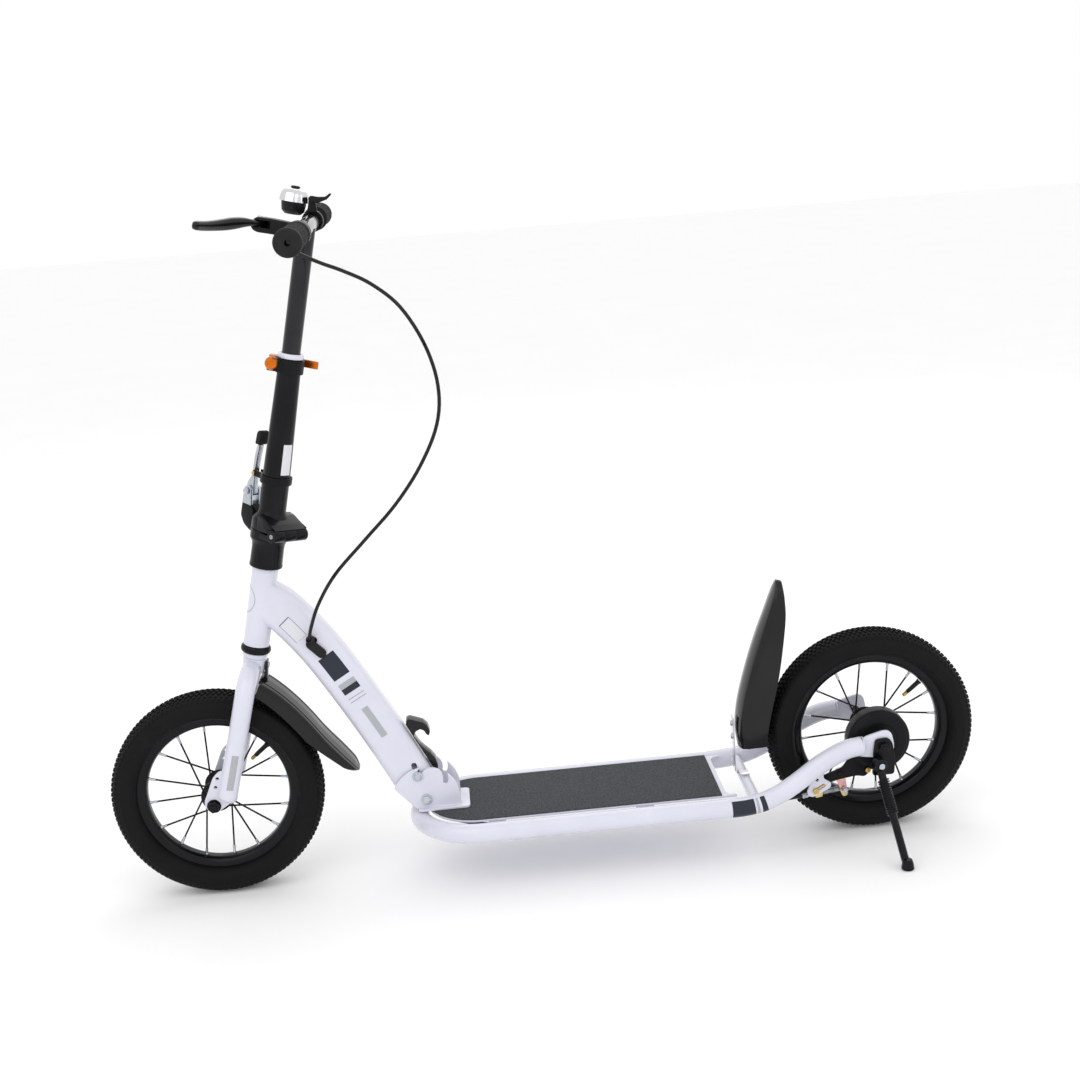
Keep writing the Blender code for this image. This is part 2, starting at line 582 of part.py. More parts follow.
def headset():
    frame = "steering_axis"
    back = FRAMES["fold_axis"].inverted() @ FRAMES[frame]
    low = HEAD_BOTTOM - GAP
    cup = [(0.0132, low - 0.0040), (0.0178, low - 0.0040), (0.0178, low - 0.0100),
           (0.0202, low - 0.0100), (0.0202, low - 0.0010), (0.0190, low), (0.0132, low)]
    solid("lower_headset_cup", turned(cup, LARGE), "fold_axis", "black_paint", back)
    balls = [(0.0134, low - 0.0098), (0.0175, low - 0.0098), (0.0175, low - 0.0043),
             (0.0134, low - 0.0043)]
    solid("lower_bearing", turned(balls, MEDIUM), frame, "steel")
    race = [(0.0128, low - 0.0180), (0.0172, low - 0.0180), (0.0185, low - 0.0135),
            (0.0185, low - 0.0103), (0.0128, low - 0.0103)]
    solid("crown_race", turned(race, LARGE), frame, "black_paint")
    high = HEAD_TOP + GAP
    cup = [(0.0132, high), (0.0188, high), (0.0198, high + 0.0010), (0.0198, high + 0.0085),
           (0.0178, high + 0.0085), (0.0178, high + 0.0035), (0.0132, high + 0.0035)]
    solid("upper_headset_cup", turned(cup, LARGE), "fold_axis", "black_paint", back)
    balls = [(0.0134, high + 0.0038), (0.0175, high + 0.0038), (0.0175, high + 0.0088),
             (0.0134, high + 0.0088)]
    solid("upper_bearing", turned(balls, MEDIUM), frame, "steel")


def release_handle():
    """Hooked finger pull on the down tube's upper face, above the lock pin."""
    frame = "fold_axis"
    hook = [(-0.1965, 0.2245), (-0.1955, 0.2305), (-0.1905, 0.2325), (-0.1720, 0.2255),
            (-0.1660, 0.2195), (-0.1632, 0.2110), (-0.1655, 0.2050), (-0.1690, 0.2075),
            (-0.1715, 0.2130), (-0.1770, 0.2160), (-0.1835, 0.2130), (-0.1868, 0.2060),
            (-0.1790, 0.1925), (-0.1725, 0.1850), (-0.1650, 0.1775), (-0.1590, 0.1690),
            (-0.1565, 0.1600), (-0.1575, 0.1530), (-0.1615, 0.1520)]
    place_at = FRAMES[frame].inverted() @ SIDE
    body = prism(hook, -0.0095, 0.0095)
    obj = solid("release_handle", body, frame, "black_plastic", place_at)
    edge = obj.modifiers.new("edges", "BEVEL")
    edge.width = 0.0012
    edge.segments = 1


# ---------------------------------------------------------------------- fork
def fork():
    frame = "steering_axis"
    race = HEAD_BOTTOM - GAP - 0.0180 - GAP
    stalk = [(0.0, 0.1840), (0.0150, 0.1840), (0.0160, race - 0.002), (0.0150, race), (STEERER, race),
             (STEERER, 0.3700), (0.0, 0.3700)]
    body = solid("fork", turned(stalk, MEDIUM), frame, "white_paint")
    leg = [(-0.0015, 0.004, 0.1915), (-0.0025, 0.018, 0.1900), (-0.0035, 0.0335, 0.1850),
           (-0.0045, 0.0455, 0.1740), (-0.0050, 0.0515, 0.1590), (-0.0055, FORK_SPREAD, 0.1430),
           (-0.0080, FORK_SPREAD, 0.0840), (-0.0105, FORK_SPREAD, 0.0260),
           (-0.0108, FORK_SPREAD, 0.0150)]
    plate = [(0.0010, 0.0370), (-0.0130, 0.0460), (-0.0240, 0.0385), (-0.0320, 0.0235),
             (-0.0425, 0.0030), (-0.0365, -0.0090), (-0.0235, -0.0115), (-0.0050, 0.0080)]
    small = ((-0.0215, 0.0300), (-0.0160, 0.0150))
    for name, side in (("left", -1), ("right", 1)):
        path = smooth_path([(x, side * y, z) for x, y, z in leg], 1)
        tube = swept(path, round_section(FORK_TUBE), (1, 0, 0))
        unite(body, solid(f"{name}_leg", tube, frame, "white_paint"))
        centre = -side * FORK_SPREAD
        flat = prism(plate, centre - 0.0025, centre + 0.0025)
        unite(body, solid(f"{name}_fork_plate", flat, frame, "white_paint", SIDE))
    axle_hole = shift(-RAKE) @ SIDE
    cut(body, solid("cut_fork_axle", rod(0.0052, -0.08, 0.08, SMALL), frame, "steel", axle_hole))
    for i, (x, z) in enumerate(small):
        place_at = shift(x + 0.0015, 0.0, z + 0.004) @ SIDE
        cut(body, solid(f"cut_fork_eye_{i}", rod(0.0026, -0.08, 0.08, TINY), frame, "steel", place_at))


def front_fender():
    """Channel-shaped guard behind the fork, flared away from the tyre at its tail."""
    frame = "steering_axis"
    back = FRAMES[frame].inverted()
    skin = 0.0025
    rings = []
    steps = 12
    for i in range(steps + 1):
        t = i / steps
        turn = radians(64 - 60 * t)
        flare = 0.020 * max(0.0, t - 0.72) ** 1.3 / 0.19
        crown = 0.1815 - 0.010 * sin(pi * min(t * 1.15, 1.0)) + flare
        half = 0.0305 * (1 - 0.25 * max(0.0, t - 0.8) ** 2 / 0.04)
        drop = 0.020 * (1 - 0.55 * max(0.0, t - 0.6) / 0.4)
        outer = [(crown - drop, -half), (crown - 0.005, -half * 0.93), (crown, -half * 0.62),
                 (crown + 0.0015, 0.0), (crown, half * 0.62), (crown - 0.005, half * 0.93),
                 (crown - drop, half)]
        inner = [(crown - drop, half - skin), (crown - 0.005 - skin, half * 0.93 - skin),
                 (crown - skin, half * 0.58), (crown + 0.0015 - skin, 0.0),
                 (crown - skin, -half * 0.58), (crown - 0.005 - skin, -half * 0.93 + skin),
                 (crown - drop, -half + skin)]
        centre = Vector((-WHEELBASE / 2, 0.0, TYRE_RADIUS))
        ray = Vector((cos(turn), 0.0, sin(turn)))
        rings.append([centre + ray * r + Vector((0.0, y, 0.0)) for r, y in outer + inner])
    bm = bmesh.new()
    stack_rings(bm, rings)
    body = solid("front_fender", bm, frame, "black_plastic", back)
    tab = [(0.0165, 0.1600), (0.0165, 0.2020), (0.0195, 0.2020), (0.0235, 0.1600)]
    strap = prism(tab, -0.009, 0.009)
    unite(body, solid("fender_tab", strap, frame, "black_plastic", SIDE))


def socket():
    """Lower half of the stem hinge, clamped on the steerer."""
    frame = "steering_axis"
    skirt = HEAD_TOP + 0.0012
    split = HINGE_LEVEL - 0.0004
    profile = [(0.0202, skirt), (0.0224, skirt), (0.0228, skirt + 0.003), (0.0222, skirt + 0.006),
               (0.0222, 0.3690), (0.0236, 0.3740), (0.0262, 0.3780), (0.0262, split), (0.0100, split),
               (0.0100, 0.3706), (0.0128, 0.3706), (0.0128, HEAD_TOP + 0.0106),
               (0.0202, HEAD_TOP + 0.0106)]
    body = solid("stem_socket", turned(profile, LARGE), frame, "black_paint")
    hinge = FRAMES[frame].inverted() @ FRAMES["stem_hinge_axis"]
    along = hinge @ Matrix.Rotation(pi / 2, 4, "Y")
    for name, low, high in (("front", -0.0290, -0.0105), ("rear", 0.0105, 0.0290)):
        knuckle = turned([(0.0036, low), (0.0088, low), (0.0088, high), (0.0036, high)], MEDIUM)
        unite(body, solid(f"{name}_knuckle", knuckle, frame, "black_paint", along))
        inset = 0.0006
        web = prism([(low + inset, 0.0055), (low + inset, 0.0250), (high - inset, 0.0250),
                     (high - inset, 0.0055)],
                    -0.0083, -0.0012)
        unite(body, solid(f"{name}_knuckle_web", web, frame, "black_paint", hinge))
    latch = FRAMES[frame].inverted() @ FRAMES["latch_axis"]
    lug = arc((0.0, 0.0), 0.0072, 180, 0, 8)
    lug += [(0.0068, -0.0400), (-0.0040, -0.0500), (-0.0300, -0.0500), (-0.0300, -0.0445),
            (-0.0176, -0.0445), (-0.0176, -0.0280), (-0.0072, -0.0130)]
    turn = latch @ Matrix.Rotation(pi / 2, 4, "Z") @ Matrix.Rotation(pi / 2, 4, "X")
    for name, low in (("front", 0.0052), ("rear", -0.0092)):
        ear = solid(f"{name}_latch_lug", prism(lug, low, low + 0.0040), frame, "black_paint", turn)
        unite(body, ear)
    across = latch @ Matrix.Rotation(pi / 2, 4, "Y")
    cut(body, solid("cut_latch_bore", rod(0.0033, -0.02, 0.02, SMALL), frame, "steel", across))
    solid("stem_hinge_pin", rod(0.0033, -0.0300, 0.0300, SMALL), frame, "steel", along)
    bolt = [(0.0, -0.0125), (0.0056, -0.0125), (0.0056, -0.0095), (0.0030, -0.0095), (0.0030, 0.0095),
            (0.0056, 0.0095), (0.0056, 0.0135), (0.0, 0.0135)]
    solid("latch_bolt", turned(bolt, SMALL), frame, "zinc", across)


# ---------------------------------------------------------------------- stem
def stem():
    frame = "stem_hinge_axis"
    back = FRAMES[frame].inverted() @ FRAMES["steering_axis"]
    split = HINGE_LEVEL + 0.0004
    profile = [(0.0, split), (0.0262, split), (0.0262, 0.4050), (0.0235, 0.4110),
               (STEM_RADIUS_LOW + 0.001, 0.4150), (STEM_RADIUS_LOW, 0.4200),
               (STEM_RADIUS_LOW, 0.4700), (STEM_RADIUS_TOP, STEM_TOP), (0.0, STEM_TOP)]
    body = solid("stem_tube", turned(profile, LARGE), frame, "black_paint", back)
    along = Matrix.Rotation(pi / 2, 4, "Y")
    knuckle = rod(0.0088, -0.0100, 0.0100, MEDIUM)
    unite(body, solid("middle_knuckle", knuckle, frame, "black_paint", along))
    web = prism([(-0.0094, 0.0), (-0.0094, 0.0250), (0.0094, 0.0250), (0.0094, 0.0)], 0.0012, 0.0083)
    unite(body, solid("middle_knuckle_web", web, frame, "black_paint"))
    cut(body, solid("cut_stem_bore", rod(0.0130, 0.4180, STEM_TOP + 0.01, MEDIUM), frame, "steel", back))
    cut(body, solid("cut_stem_pin", rod(0.0036, -0.02, 0.02, SMALL), frame, "steel", along))
    # room for the lower half's outer knuckles and their webs
    for name, low, high in (("front", -0.0300, -0.0102), ("rear", 0.0102, 0.0300)):
        clear = solid(f"cut_{name}_clearance", rod(0.0094, low, high, MEDIUM), frame, "steel", along)
        cut(body, clear)


def stem_collar():
    """Band round the stem with the fork that holds the latch lever shut."""
    frame = "stem_hinge_axis"
    back = FRAMES[frame].inverted() @ FRAMES["steering_axis"]
    low, high = 0.4560, 0.4665
    outer = STEM_RADIUS_LOW + 0.0032
    ring = solid("stem_collar", rod(outer, low, high, LARGE), frame, "satin_black", back)
    twist = back @ Matrix.Rotation(HINGE_TWIST, 4, "Z")
    for name, side in (("front", 1), ("rear", -1)):
        prong = [(side * 0.0052, 0.0130), (side * 0.0052, 0.0400), (side * 0.0085, 0.0400),
                 (side * 0.0100, 0.0130)]
        block = prism(prong, low + 0.0012, high - 0.0012)
        unite(ring, solid(f"{name}_prong", block, frame, "satin_black", twist))
    bore = rod(STEM_RADIUS_LOW + GAP, low - 0.01, high + 0.01, LARGE)
    cut(ring, solid("cut_collar_bore", bore, frame, "steel", back))
    screw = [(0.0, -0.0112), (0.0030, -0.0112), (0.0030, -0.0094), (0.0016, -0.0094), (0.0016, 0.0094),
             (0.0026, 0.0094), (0.0026, 0.0112), (0.0, 0.0112)]
    middle = (low + high) / 2
    across = twist @ shift(0.0, 0.0365, middle) @ Matrix.Rotation(pi / 2, 4, "Y")
    cut(ring, solid("cut_collar_screw", rod(0.0019, -0.02, 0.02, TINY), frame, "steel", across))
    solid("collar_screw", turned(screw, TINY), frame, "brass", across)


def latch():
    """Over-centre lever with a rubber tip, held in the collar's fork."""
    frame = "latch_axis"
    side = Matrix.Rotation(pi / 2, 4, "Z") @ Matrix.Rotation(pi / 2, 4, "X")
    lever = arc((0.0, 0.0), 0.0072, 190, 350, 8)
    lever += [(0.0078, 0.0100), (-0.0005, 0.0230), (-0.0005, 0.0330), (-0.0015, 0.0500),
              (-0.0040, 0.0660), (-0.0090, 0.0665), (-0.0065, 0.0500), (-0.0050, 0.0320),
              (-0.0056, 0.0100)]
    blade = prism(lever, -0.0045, 0.0045)
    body = solid("latch_lever", blade, frame, "zinc", side)
    across = Matrix.Rotation(pi / 2, 4, "Y")
    cut(body, solid("cut_lever_bore", rod(0.0033, -0.01, 0.01, SMALL), frame, "steel", across))
    tip = [(-0.0022, 0.0665), (-0.0040, 0.0840), (-0.0080, 0.0870), (-0.0130, 0.0850),
           (-0.0112, 0.0670)]
    rubber = solid("latch_tip", prism(tip, -0.0080, 0.0080), frame, "rubber", side)
    edge = rubber.modifiers.new("edges", "BEVEL")
    edge.width = 0.0018
    edge.segments = 1


def height_clamp():
    frame = "stem_hinge_axis"
    back = FRAMES[frame].inverted() @ FRAMES["steering_axis"]
    low, high = 0.6080, 0.6270
    band = solid("height_clamp", rod(0.0192, low, high, LARGE), frame, "satin_black", back)
    ears = prism([(-0.0290, -0.0170), (-0.0290, 0.0170), (-0.0050, 0.0170), (-0.0050, -0.0170)],
                 low + 0.002, high - 0.002)
    unite(band, solid("clamp_ears", ears, frame, "satin_black", back))
    slit = prism([(-0.0350, -0.0015), (-0.0350, 0.0015), (-0.0100, 0.0015),
                  (-0.0100, -0.0015)], low - 0.01, high + 0.01)
    cut(band, solid("cut_clamp_slit", slit, frame, "steel", back))
    taper = rod(STEM_RADIUS_TOP + 0.0008, low - 0.01, high + 0.01, LARGE)
    cut(band, solid("cut_clamp_bore", taper, frame, "steel", back))
    middle = (low + high) / 2 + 0.0030
    across = back @ shift(-0.0230, 0.0, middle) @ SIDE
    cut(band, solid("cut_clamp_bolt", rod(0.0028, -0.04, 0.04, SMALL), frame, "steel", across))
    bolt = [(0.0, -0.0270), (0.0024, -0.0270), (0.0024, 0.0173), (0.0088, 0.0173), (0.0088, 0.0210),
            (0.0066, 0.0250), (0.0, 0.0250)]
    solid("clamp_bolt", turned(bolt, MEDIUM), frame, "orange_anodised", across)
    ring = [(0.0130, 0.6280), (0.0172, 0.6280), (0.0176, 0.6315), (0.0165, 0.6350), (0.0130, 0.6350)]
    solid("stem_top_ring", turned(ring, LARGE), frame, "white_paint", back)


def clamp_lever():
    """Quick-release lever that wraps behind the stem, on a cam at the end of the clamp bolt."""
    frame = "clamp_cam_axis"
    outline = arc((0.0, 0.0), 0.0080, 110, 250, 8)
    outline += [(0.0020, -0.0080), (0.0150, -0.0035), (0.0300, -0.0028), (0.0450, -0.0090),
                (0.0590, -0.0125)]
    outline += [(0.0600, -0.0085), (0.0470, -0.0035), (0.0320, 0.0030), (0.0150, 0.0045),
                (0.0030, 0.0080)]
    body = solid("clamp_lever", prism(outline, -0.0052, 0.0052), frame, "orange_anodised")
    # the cam is forked, so that it turns round the bolt's end
    fan = arc((0.0, 0.0), 0.0125, 138, 286, 8) + [(0.0034, -0.0030), (0.0034, 0.0034), (0.0, 0.0040)]
    cut(body, solid("cut_cam_fork", prism(fan, -0.0031, 0.0031), frame, "steel"))


# ----------------------------------------------------------------- handlebar
def handlebar():
    frame = "bar_slide_axis"
    post = rod(POST_RADIUS, POST_LOW - BAR_LEVEL, 0.0, MEDIUM)
    body = solid("handlebar", post, frame, "dark_chrome")
    cross = rod(BAR_RADIUS, -BAR_HALF, BAR_HALF, MEDIUM)
    unite(body, solid("cross_bar", cross, frame, "dark_chrome", SIDE))
    for name, side in (("left_grip", 1), ("right_grip", -1)):
        low, high = GRIP_INNER, GRIP_HALF
        wall = BAR_RADIUS + GAP
        sleeve = [(wall, low), (GRIP_RADIUS, low), (GRIP_RADIUS, high - 0.002),
                  (GRIP_RADIUS - 0.002, high), (0.0035, high), (0.0035, BAR_HALF + GAP),
                  (wall, BAR_HALF + GAP)]
        turn = SIDE if side > 0 else Matrix.Rotation(-pi / 2, 4, "X")
        solid(name, turned(sleeve, MEDIUM), frame, "rubber", turn)


def brake_lever():
    """Perch clamped on the bar, the lever on its pin, and the cable's barrel adjuster."""
    frame = "bar_slide_axis"
    clamp = rod(0.0158, 0.1360, 0.1640, MEDIUM)
    perch = solid("brake_perch", clamp, frame, "black_plastic", SIDE)
    lift = shift(0.0, -0.150, 0.0)
    arm = [(-0.0090, 0.0120), (-0.0560, 0.0140), (-0.0560, -0.0140), (-0.0100, -0.0120)]
    plate = prism([(x, z * 0.60 + 0.0045) for x, z in arm], -0.0120, 0.0120)
    unite(perch, solid("perch_arm", plate, frame, "black_plastic", lift @ SIDE))
    slot = Matrix.Translation((0.0, -0.150, 0.0060)) @ shift(0.0, -0.0025, 0.0)
    wide = prism([(-0.0720, -0.0130), (-0.0720, 0.0112), (-0.0330, 0.0112),
                  (-0.0330, -0.0130)], -0.0046, 0.0046)
    cut(perch, solid("cut_lever_slot", wide, frame, "steel", slot))
    pin_at = Matrix.Translation((-0.046, -0.150, 0.006))
    cut(perch, solid("cut_perch_pin", rod(0.0027, -0.03, 0.03, SMALL), frame, "steel", pin_at))
    pin = [(0.0, -0.0070), (0.0024, -0.0070), (0.0024, 0.0072), (0.0044, 0.0072), (0.0044, 0.0090),
           (0.0, 0.0090)]
    solid("brake_lever_pin", turned(pin, SMALL), frame, "zinc", pin_at)
    barrel = [(0.0, 0.0), (0.0048, 0.0), (0.0048, 0.0090), (0.0036, 0.0100), (0.0036, 0.0180),
              (0.0, 0.0180)]
    at = facing((0.10, 0.85, -0.50), (-0.0100, -0.1400, -0.0100))
    unite(perch, solid("barrel_adjuster", turned(barrel, SMALL), frame, "black_plastic", at))
    bore = rod(BAR_RADIUS + GAP, 0.10, 0.20, MEDIUM, phase=0.11)
    cut(perch, solid("cut_perch_bore", bore, frame, "steel", SIDE))
    frame = "brake_pivot_axis"
    lever = [(0.0085, 0.0045), (0.0085, -0.0045), (-0.0010, -0.0085), (-0.0180, -0.0330),
             (-0.0400, -0.0620), (-0.0560, -0.0930), (-0.0600, -0.1050), (-0.0690, -0.1060),
             (-0.0660, -0.0930), (-0.0520, -0.0610), (-0.0310, -0.0270), (-0.0130, -0.0020),
             (-0.0060, 0.0060)]
    blade = solid("brake_lever", prism(lever, -0.0042, 0.0042), frame, "black_plastic")
    edge = blade.modifiers.new("edges", "BEVEL")
    edge.width = 0.0014
    edge.segments = 1
    cut(blade, solid("cut_blade_pin", rod(0.0027, -0.01, 0.01, SMALL), frame, "steel"))


def bell():
    frame = "bar_slide_axis"
    band = rod(0.0150, -0.1380, -0.1220, MEDIUM)
    base = solid("bell_base", band, frame, "black_plastic", SIDE)
    cup_at = shift(-0.0285, 0.130, 0.0225)
    dish = rod(0.0172, -0.0175, 0.0040, MEDIUM)
    unite(base, solid("bell_dish", dish, frame, "black_plastic", cup_at))
    ear = arc((-0.0040, 0.0300), 0.0042, 0, 180, 5) + [(-0.0082, 0.0060), (0.0060, 0.0060)]
    unite(base, solid("bell_lever_ear", prism(ear, -0.1240, -0.1185), frame, "black_plastic", SIDE))
    cut(base, solid("cut_bell_bore", rod(BAR_RADIUS + GAP, -0.16, -0.10, MEDIUM), frame, "steel", SIDE))
    post = [(0.0, 0.0030), (0.0040, 0.0030), (0.0040, 0.0184), (0.0062, 0.0184), (0.0062, 0.0196),
            (0.0048, 0.0206), (0.0, 0.0206)]
    unite(base, solid("bell_post", turned(post, SMALL), frame, "black_plastic", cup_at))
    dome = [(0.0046, 0.0180), (0.0106, 0.0173), (0.0160, 0.0143), (0.0193, 0.0091), (0.0205, 0.0),
            (0.0193, 0.0), (0.0182, 0.0085), (0.0151, 0.0129), (0.0101, 0.0156), (0.0046, 0.0162)]
    solid("bell_dome", turned(dome, LARGE), frame, "chrome", cup_at)
    frame = "bell_pivot_axis"
    thumb = arc((0.0, 0.0), 0.0045, 90, 270, 6)
    thumb += [(0.0090, -0.0042), (0.0210, 0.0030), (0.0260, 0.0105), (0.0235, 0.0120),
              (0.0180, 0.0060), (0.0080, 0.0042)]
    solid("bell_lever", prism(thumb, -0.0035, 0.0035), frame, "black_plastic", SIDE)


# -------------------------------------------------------- rear trim and stand
def rear_fender():
    """Tall blade that stands in front of the rear wheel, crowned across its width."""
    route = [(0.2860, 0.1420), (0.2850, 0.1700), (0.2890, 0.2080), (0.3020, 0.2580), (0.3160, 0.3020),
             (0.3290, 0.3380), (0.3370, 0.3620), (0.3440, 0.3840)]
    wide = [0.024, 0.0285, 0.0300, 0.0295, 0.0275, 0.0235, 0.0185, 0.0100]
    deep = [0.018, 0.0210, 0.0185, 0.0165, 0.0140, 0.0110, 0.0080, 0.0045]
    skin = 0.0026
    steps = 2
    path = smooth_path([(x, 0.0, z) for x, z in route], steps)
    rings = []
    for i, point in enumerate(path):
        stop = min(i // steps, len(wide) - 2)
        t = i / steps - stop
        half = wide[stop] + (wide[stop + 1] - wide[stop]) * t
        dip = deep[stop] + (deep[stop + 1] - deep[stop]) * t
        along = (path[min(i + 1, len(path) - 1)] - path[max(i - 1, 0)]).normalized()
        out = Vector((along.z, 0.0, -along.x))
        front = [(-half, dip * 0.5), (-half * 0.80, -dip * 0.12), (-half * 0.40, -dip * 0.42),
                 (0.0, -dip * 0.5), (half * 0.40, -dip * 0.42), (half * 0.80, -dip * 0.12),
                 (half, dip * 0.5)]
        rear = [(y * (1 - skin / half), d + skin) for y, d in reversed(front[1:-1])]
        shape = front + [(half - skin, dip * 0.5)] + rear + [(-half + skin, dip * 0.5)]
        rings.append([point + Vector((0.0, y, 0.0)) + out * d for y, d in shape])
    bm = bmesh.new()
    stack_rings(bm, rings)
    solid("rear_fender", bm, None, "black_plastic")
    strip = [(0.2700, 0.1860), (0.2700, 0.1100), (0.2745, 0.0990), (0.2830, 0.0962), (0.2915, 0.0965),
             (0.2915, 0.0983), (0.2835, 0.0983), (0.2760, 0.1005), (0.2722, 0.1100), (0.2722, 0.1860)]
    solid("fender_stay", prism(strip, -0.0085, 0.0085), None, "chrome", SIDE)


def kickstand():
    outline = [(-0.0170, -0.0420), (-0.0150, -0.0060), (-0.0120, 0.0120), (0.0060, 0.0135),
               (0.0125, 0.0060), (0.0160, -0.0200), (0.0140, -0.0420)]
    place_at = Matrix.Translation((WHEELBASE / 2, 0.0, TYRE_RADIUS)) @ SIDE
    low = 0.0771
    body = solid("kickstand_bracket", prism(outline, low, low + 0.0040), None, "black_paint", place_at)
    hole = rod(0.0052, low - 0.01, low + 0.02, SMALL)
    cut(body, solid("cut_bracket_axle", hole, None, "steel", place_at))
    frame = "kickstand_axis"
    cut(body, solid("cut_bracket_pin", rod(0.0038, -0.03, 0.01, SMALL), None, "steel", FRAMES[frame]))
    pin = [(0.0, -0.0145), (0.0034, -0.0145), (0.0034, 0.0068), (0.0046, 0.0068), (0.0046, 0.0092),
           (0.0, 0.0092)]
    solid("kickstand_pin", turned(pin, SMALL), None, "zinc", FRAMES[frame])
    spread = Vector(KICK_FOOT) - Vector(KICK_PIVOT)
    back = FRAMES[frame].inverted()
    start, end = Vector(KICK_PIVOT), Vector(KICK_FOOT)
    along = spread.normalized()
    eye = solid("kickstand_leg", rod(0.0100, -0.0048, 0.0064, SMALL), frame, "black_paint")
    tube = swept([start + along * 0.009, end - along * 0.0105], round_section(0.0055), (1, 0, 0))
    unite(eye, solid("leg_tube", tube, frame, "black_paint", back))
    pad = [(0.0, 0.0), (0.0085, 0.0), (0.0100, 0.0020), (0.0090, 0.0100), (0.0060, 0.0140),
           (0.0, 0.0140)]
    ground = back @ Matrix.Translation(end)
    unite(eye, solid("leg_foot", turned(pad, SMALL), frame, "black_paint", ground))
    cut(eye, solid("cut_leg_eye", rod(0.0037, -0.02, 0.02, SMALL), frame, "steel"))
    coil = [(0.0059, 0.020), (0.0086, 0.020), (0.0086, 0.072), (0.0059, 0.072)]
    turn = back @ facing(along, start)
    solid("kickstand_spring", turned(coil, SMALL), frame, "black_paint", turn)


def cables():
    upper = [(-0.2715, -0.1236, 0.9077), (-0.2671, -0.1120, 0.9007), (-0.2548, -0.0990, 0.8921),
             (-0.2385, -0.0890, 0.8826), (-0.2130, -0.0790, 0.8700), (-0.1800, -0.0690, 0.8500),
             (-0.1460, -0.0630, 0.8170), (-0.1190, -0.0600, 0.7650), (-0.1070, -0.0600, 0.7110),
             (-0.1130, -0.0600, 0.6600), (-0.1400, -0.0600, 0.6060), (-0.1780, -0.0580, 0.5560),
             (-0.2230, -0.0550, 0.5110), (-0.2680, -0.0520, 0.4660), (-0.2950, -0.0490, 0.4260),
             (-0.3090, -0.0430, 0.3930), CABLE_ENTRY]
    cable("brake_cable_upper", upper, 0.0025, "fold_axis", "black_plastic", 2)
    lower = [(-0.1580, 0.0, 0.0800), (-0.1450, -0.0080, 0.0745), (-0.1100, -0.0300, 0.0735),
             (-0.0500, -0.0480, 0.0735), (0.0600, -0.0520, 0.0735), (0.1800, -0.0560, 0.0735),
             (0.2600, -0.0590, 0.0735), (0.3100, -0.0580, 0.0740), (0.3558, -0.0575, 0.0774)]
    cable("brake_cable_lower", lower, 0.0025, None, "black_plastic", 2)
    barrel = [(0.0010, 0.0), (0.0038, 0.0), (0.0038, 0.0070), (0.0030, 0.0080), (0.0030, 0.0290),
              (0.0010, 0.0290)]
    end = facing((0.990, 0.0, 0.110), (0.3566, -0.0575, 0.0775))
    stop = solid("lower_barrel_adjuster", turned(barrel, SMALL), None, "zinc", end)
    bracket = [(0.3700, 0.0990), (0.3665, 0.0900), (0.3745, 0.0840), (0.3752, 0.0735), (0.3855, 0.0750),
               (0.3865, 0.0830), (0.3935, 0.0915), (0.3930, 0.0960)]
    unite(stop, solid("cable_stop_bracket", prism(bracket, 0.0588, 0.0608), None, "yellow_zinc", SIDE))


def build():
    clear_scene()
    make_frames()
    for end, frame in (("front", "front_wheel_axis"), ("rear", "rear_wheel_axis")):
        wheel(end, frame)
    across = FRAMES["steering_axis"].inverted() @ FRAMES["front_wheel_axis"]
    axle("front_axle", "steering_axis", across, 0.0650, FORK_SPREAD + 0.0028)
    axle("rear_axle", None, FRAMES["rear_wheel_axis"], 0.0900, 0.0814)
    brake_unit()
    brake_arm()
    deck()
    fold_bracket()
    lock_pin()
    front_frame()
    cable_boot()
    headset()
    release_handle()
    fork()
    front_fender()
    socket()
    stem()
    stem_collar()
    latch()
    height_clamp()
    clamp_lever()
    handlebar()
    brake_lever()
    bell()
    rear_fender()
    kickstand()
    cables()


build()
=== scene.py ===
"""Visual model of a folding kick scooter with two spoked 12-inch wheels and a band brake.

Metres, +Z up. The origin is on the ground, midway between the wheels. The front
of the scooter points to -X and the rider's left is -Y.
"""
from math import cos, pi, radians, sin, sqrt

import bmesh
import bpy
from mathutils import Matrix, Vector


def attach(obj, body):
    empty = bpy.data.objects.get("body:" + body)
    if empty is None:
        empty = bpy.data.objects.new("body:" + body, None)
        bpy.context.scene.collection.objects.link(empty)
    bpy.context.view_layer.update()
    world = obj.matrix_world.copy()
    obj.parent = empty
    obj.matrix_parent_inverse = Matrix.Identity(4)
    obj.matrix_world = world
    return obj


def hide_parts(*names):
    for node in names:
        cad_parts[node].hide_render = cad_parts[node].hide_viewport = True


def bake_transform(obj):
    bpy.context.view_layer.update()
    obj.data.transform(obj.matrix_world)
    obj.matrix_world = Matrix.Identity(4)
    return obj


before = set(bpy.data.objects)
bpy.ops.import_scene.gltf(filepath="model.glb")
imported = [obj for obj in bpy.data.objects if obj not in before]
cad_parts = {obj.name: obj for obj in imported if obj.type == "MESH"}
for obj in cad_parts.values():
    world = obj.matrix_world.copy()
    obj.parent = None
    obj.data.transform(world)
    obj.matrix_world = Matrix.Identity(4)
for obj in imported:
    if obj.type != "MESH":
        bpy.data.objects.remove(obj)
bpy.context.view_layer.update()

bl_info = {
    "name": "Folding kick scooter",
    "version": (1, 0, 0),
    "blender": (4, 5, 0),
    "location": "3D View > Sidebar > Scooter",
    "description": "Builds the painted, rubber and plated pieces of a folding kick scooter",
    "category": "Object",
}

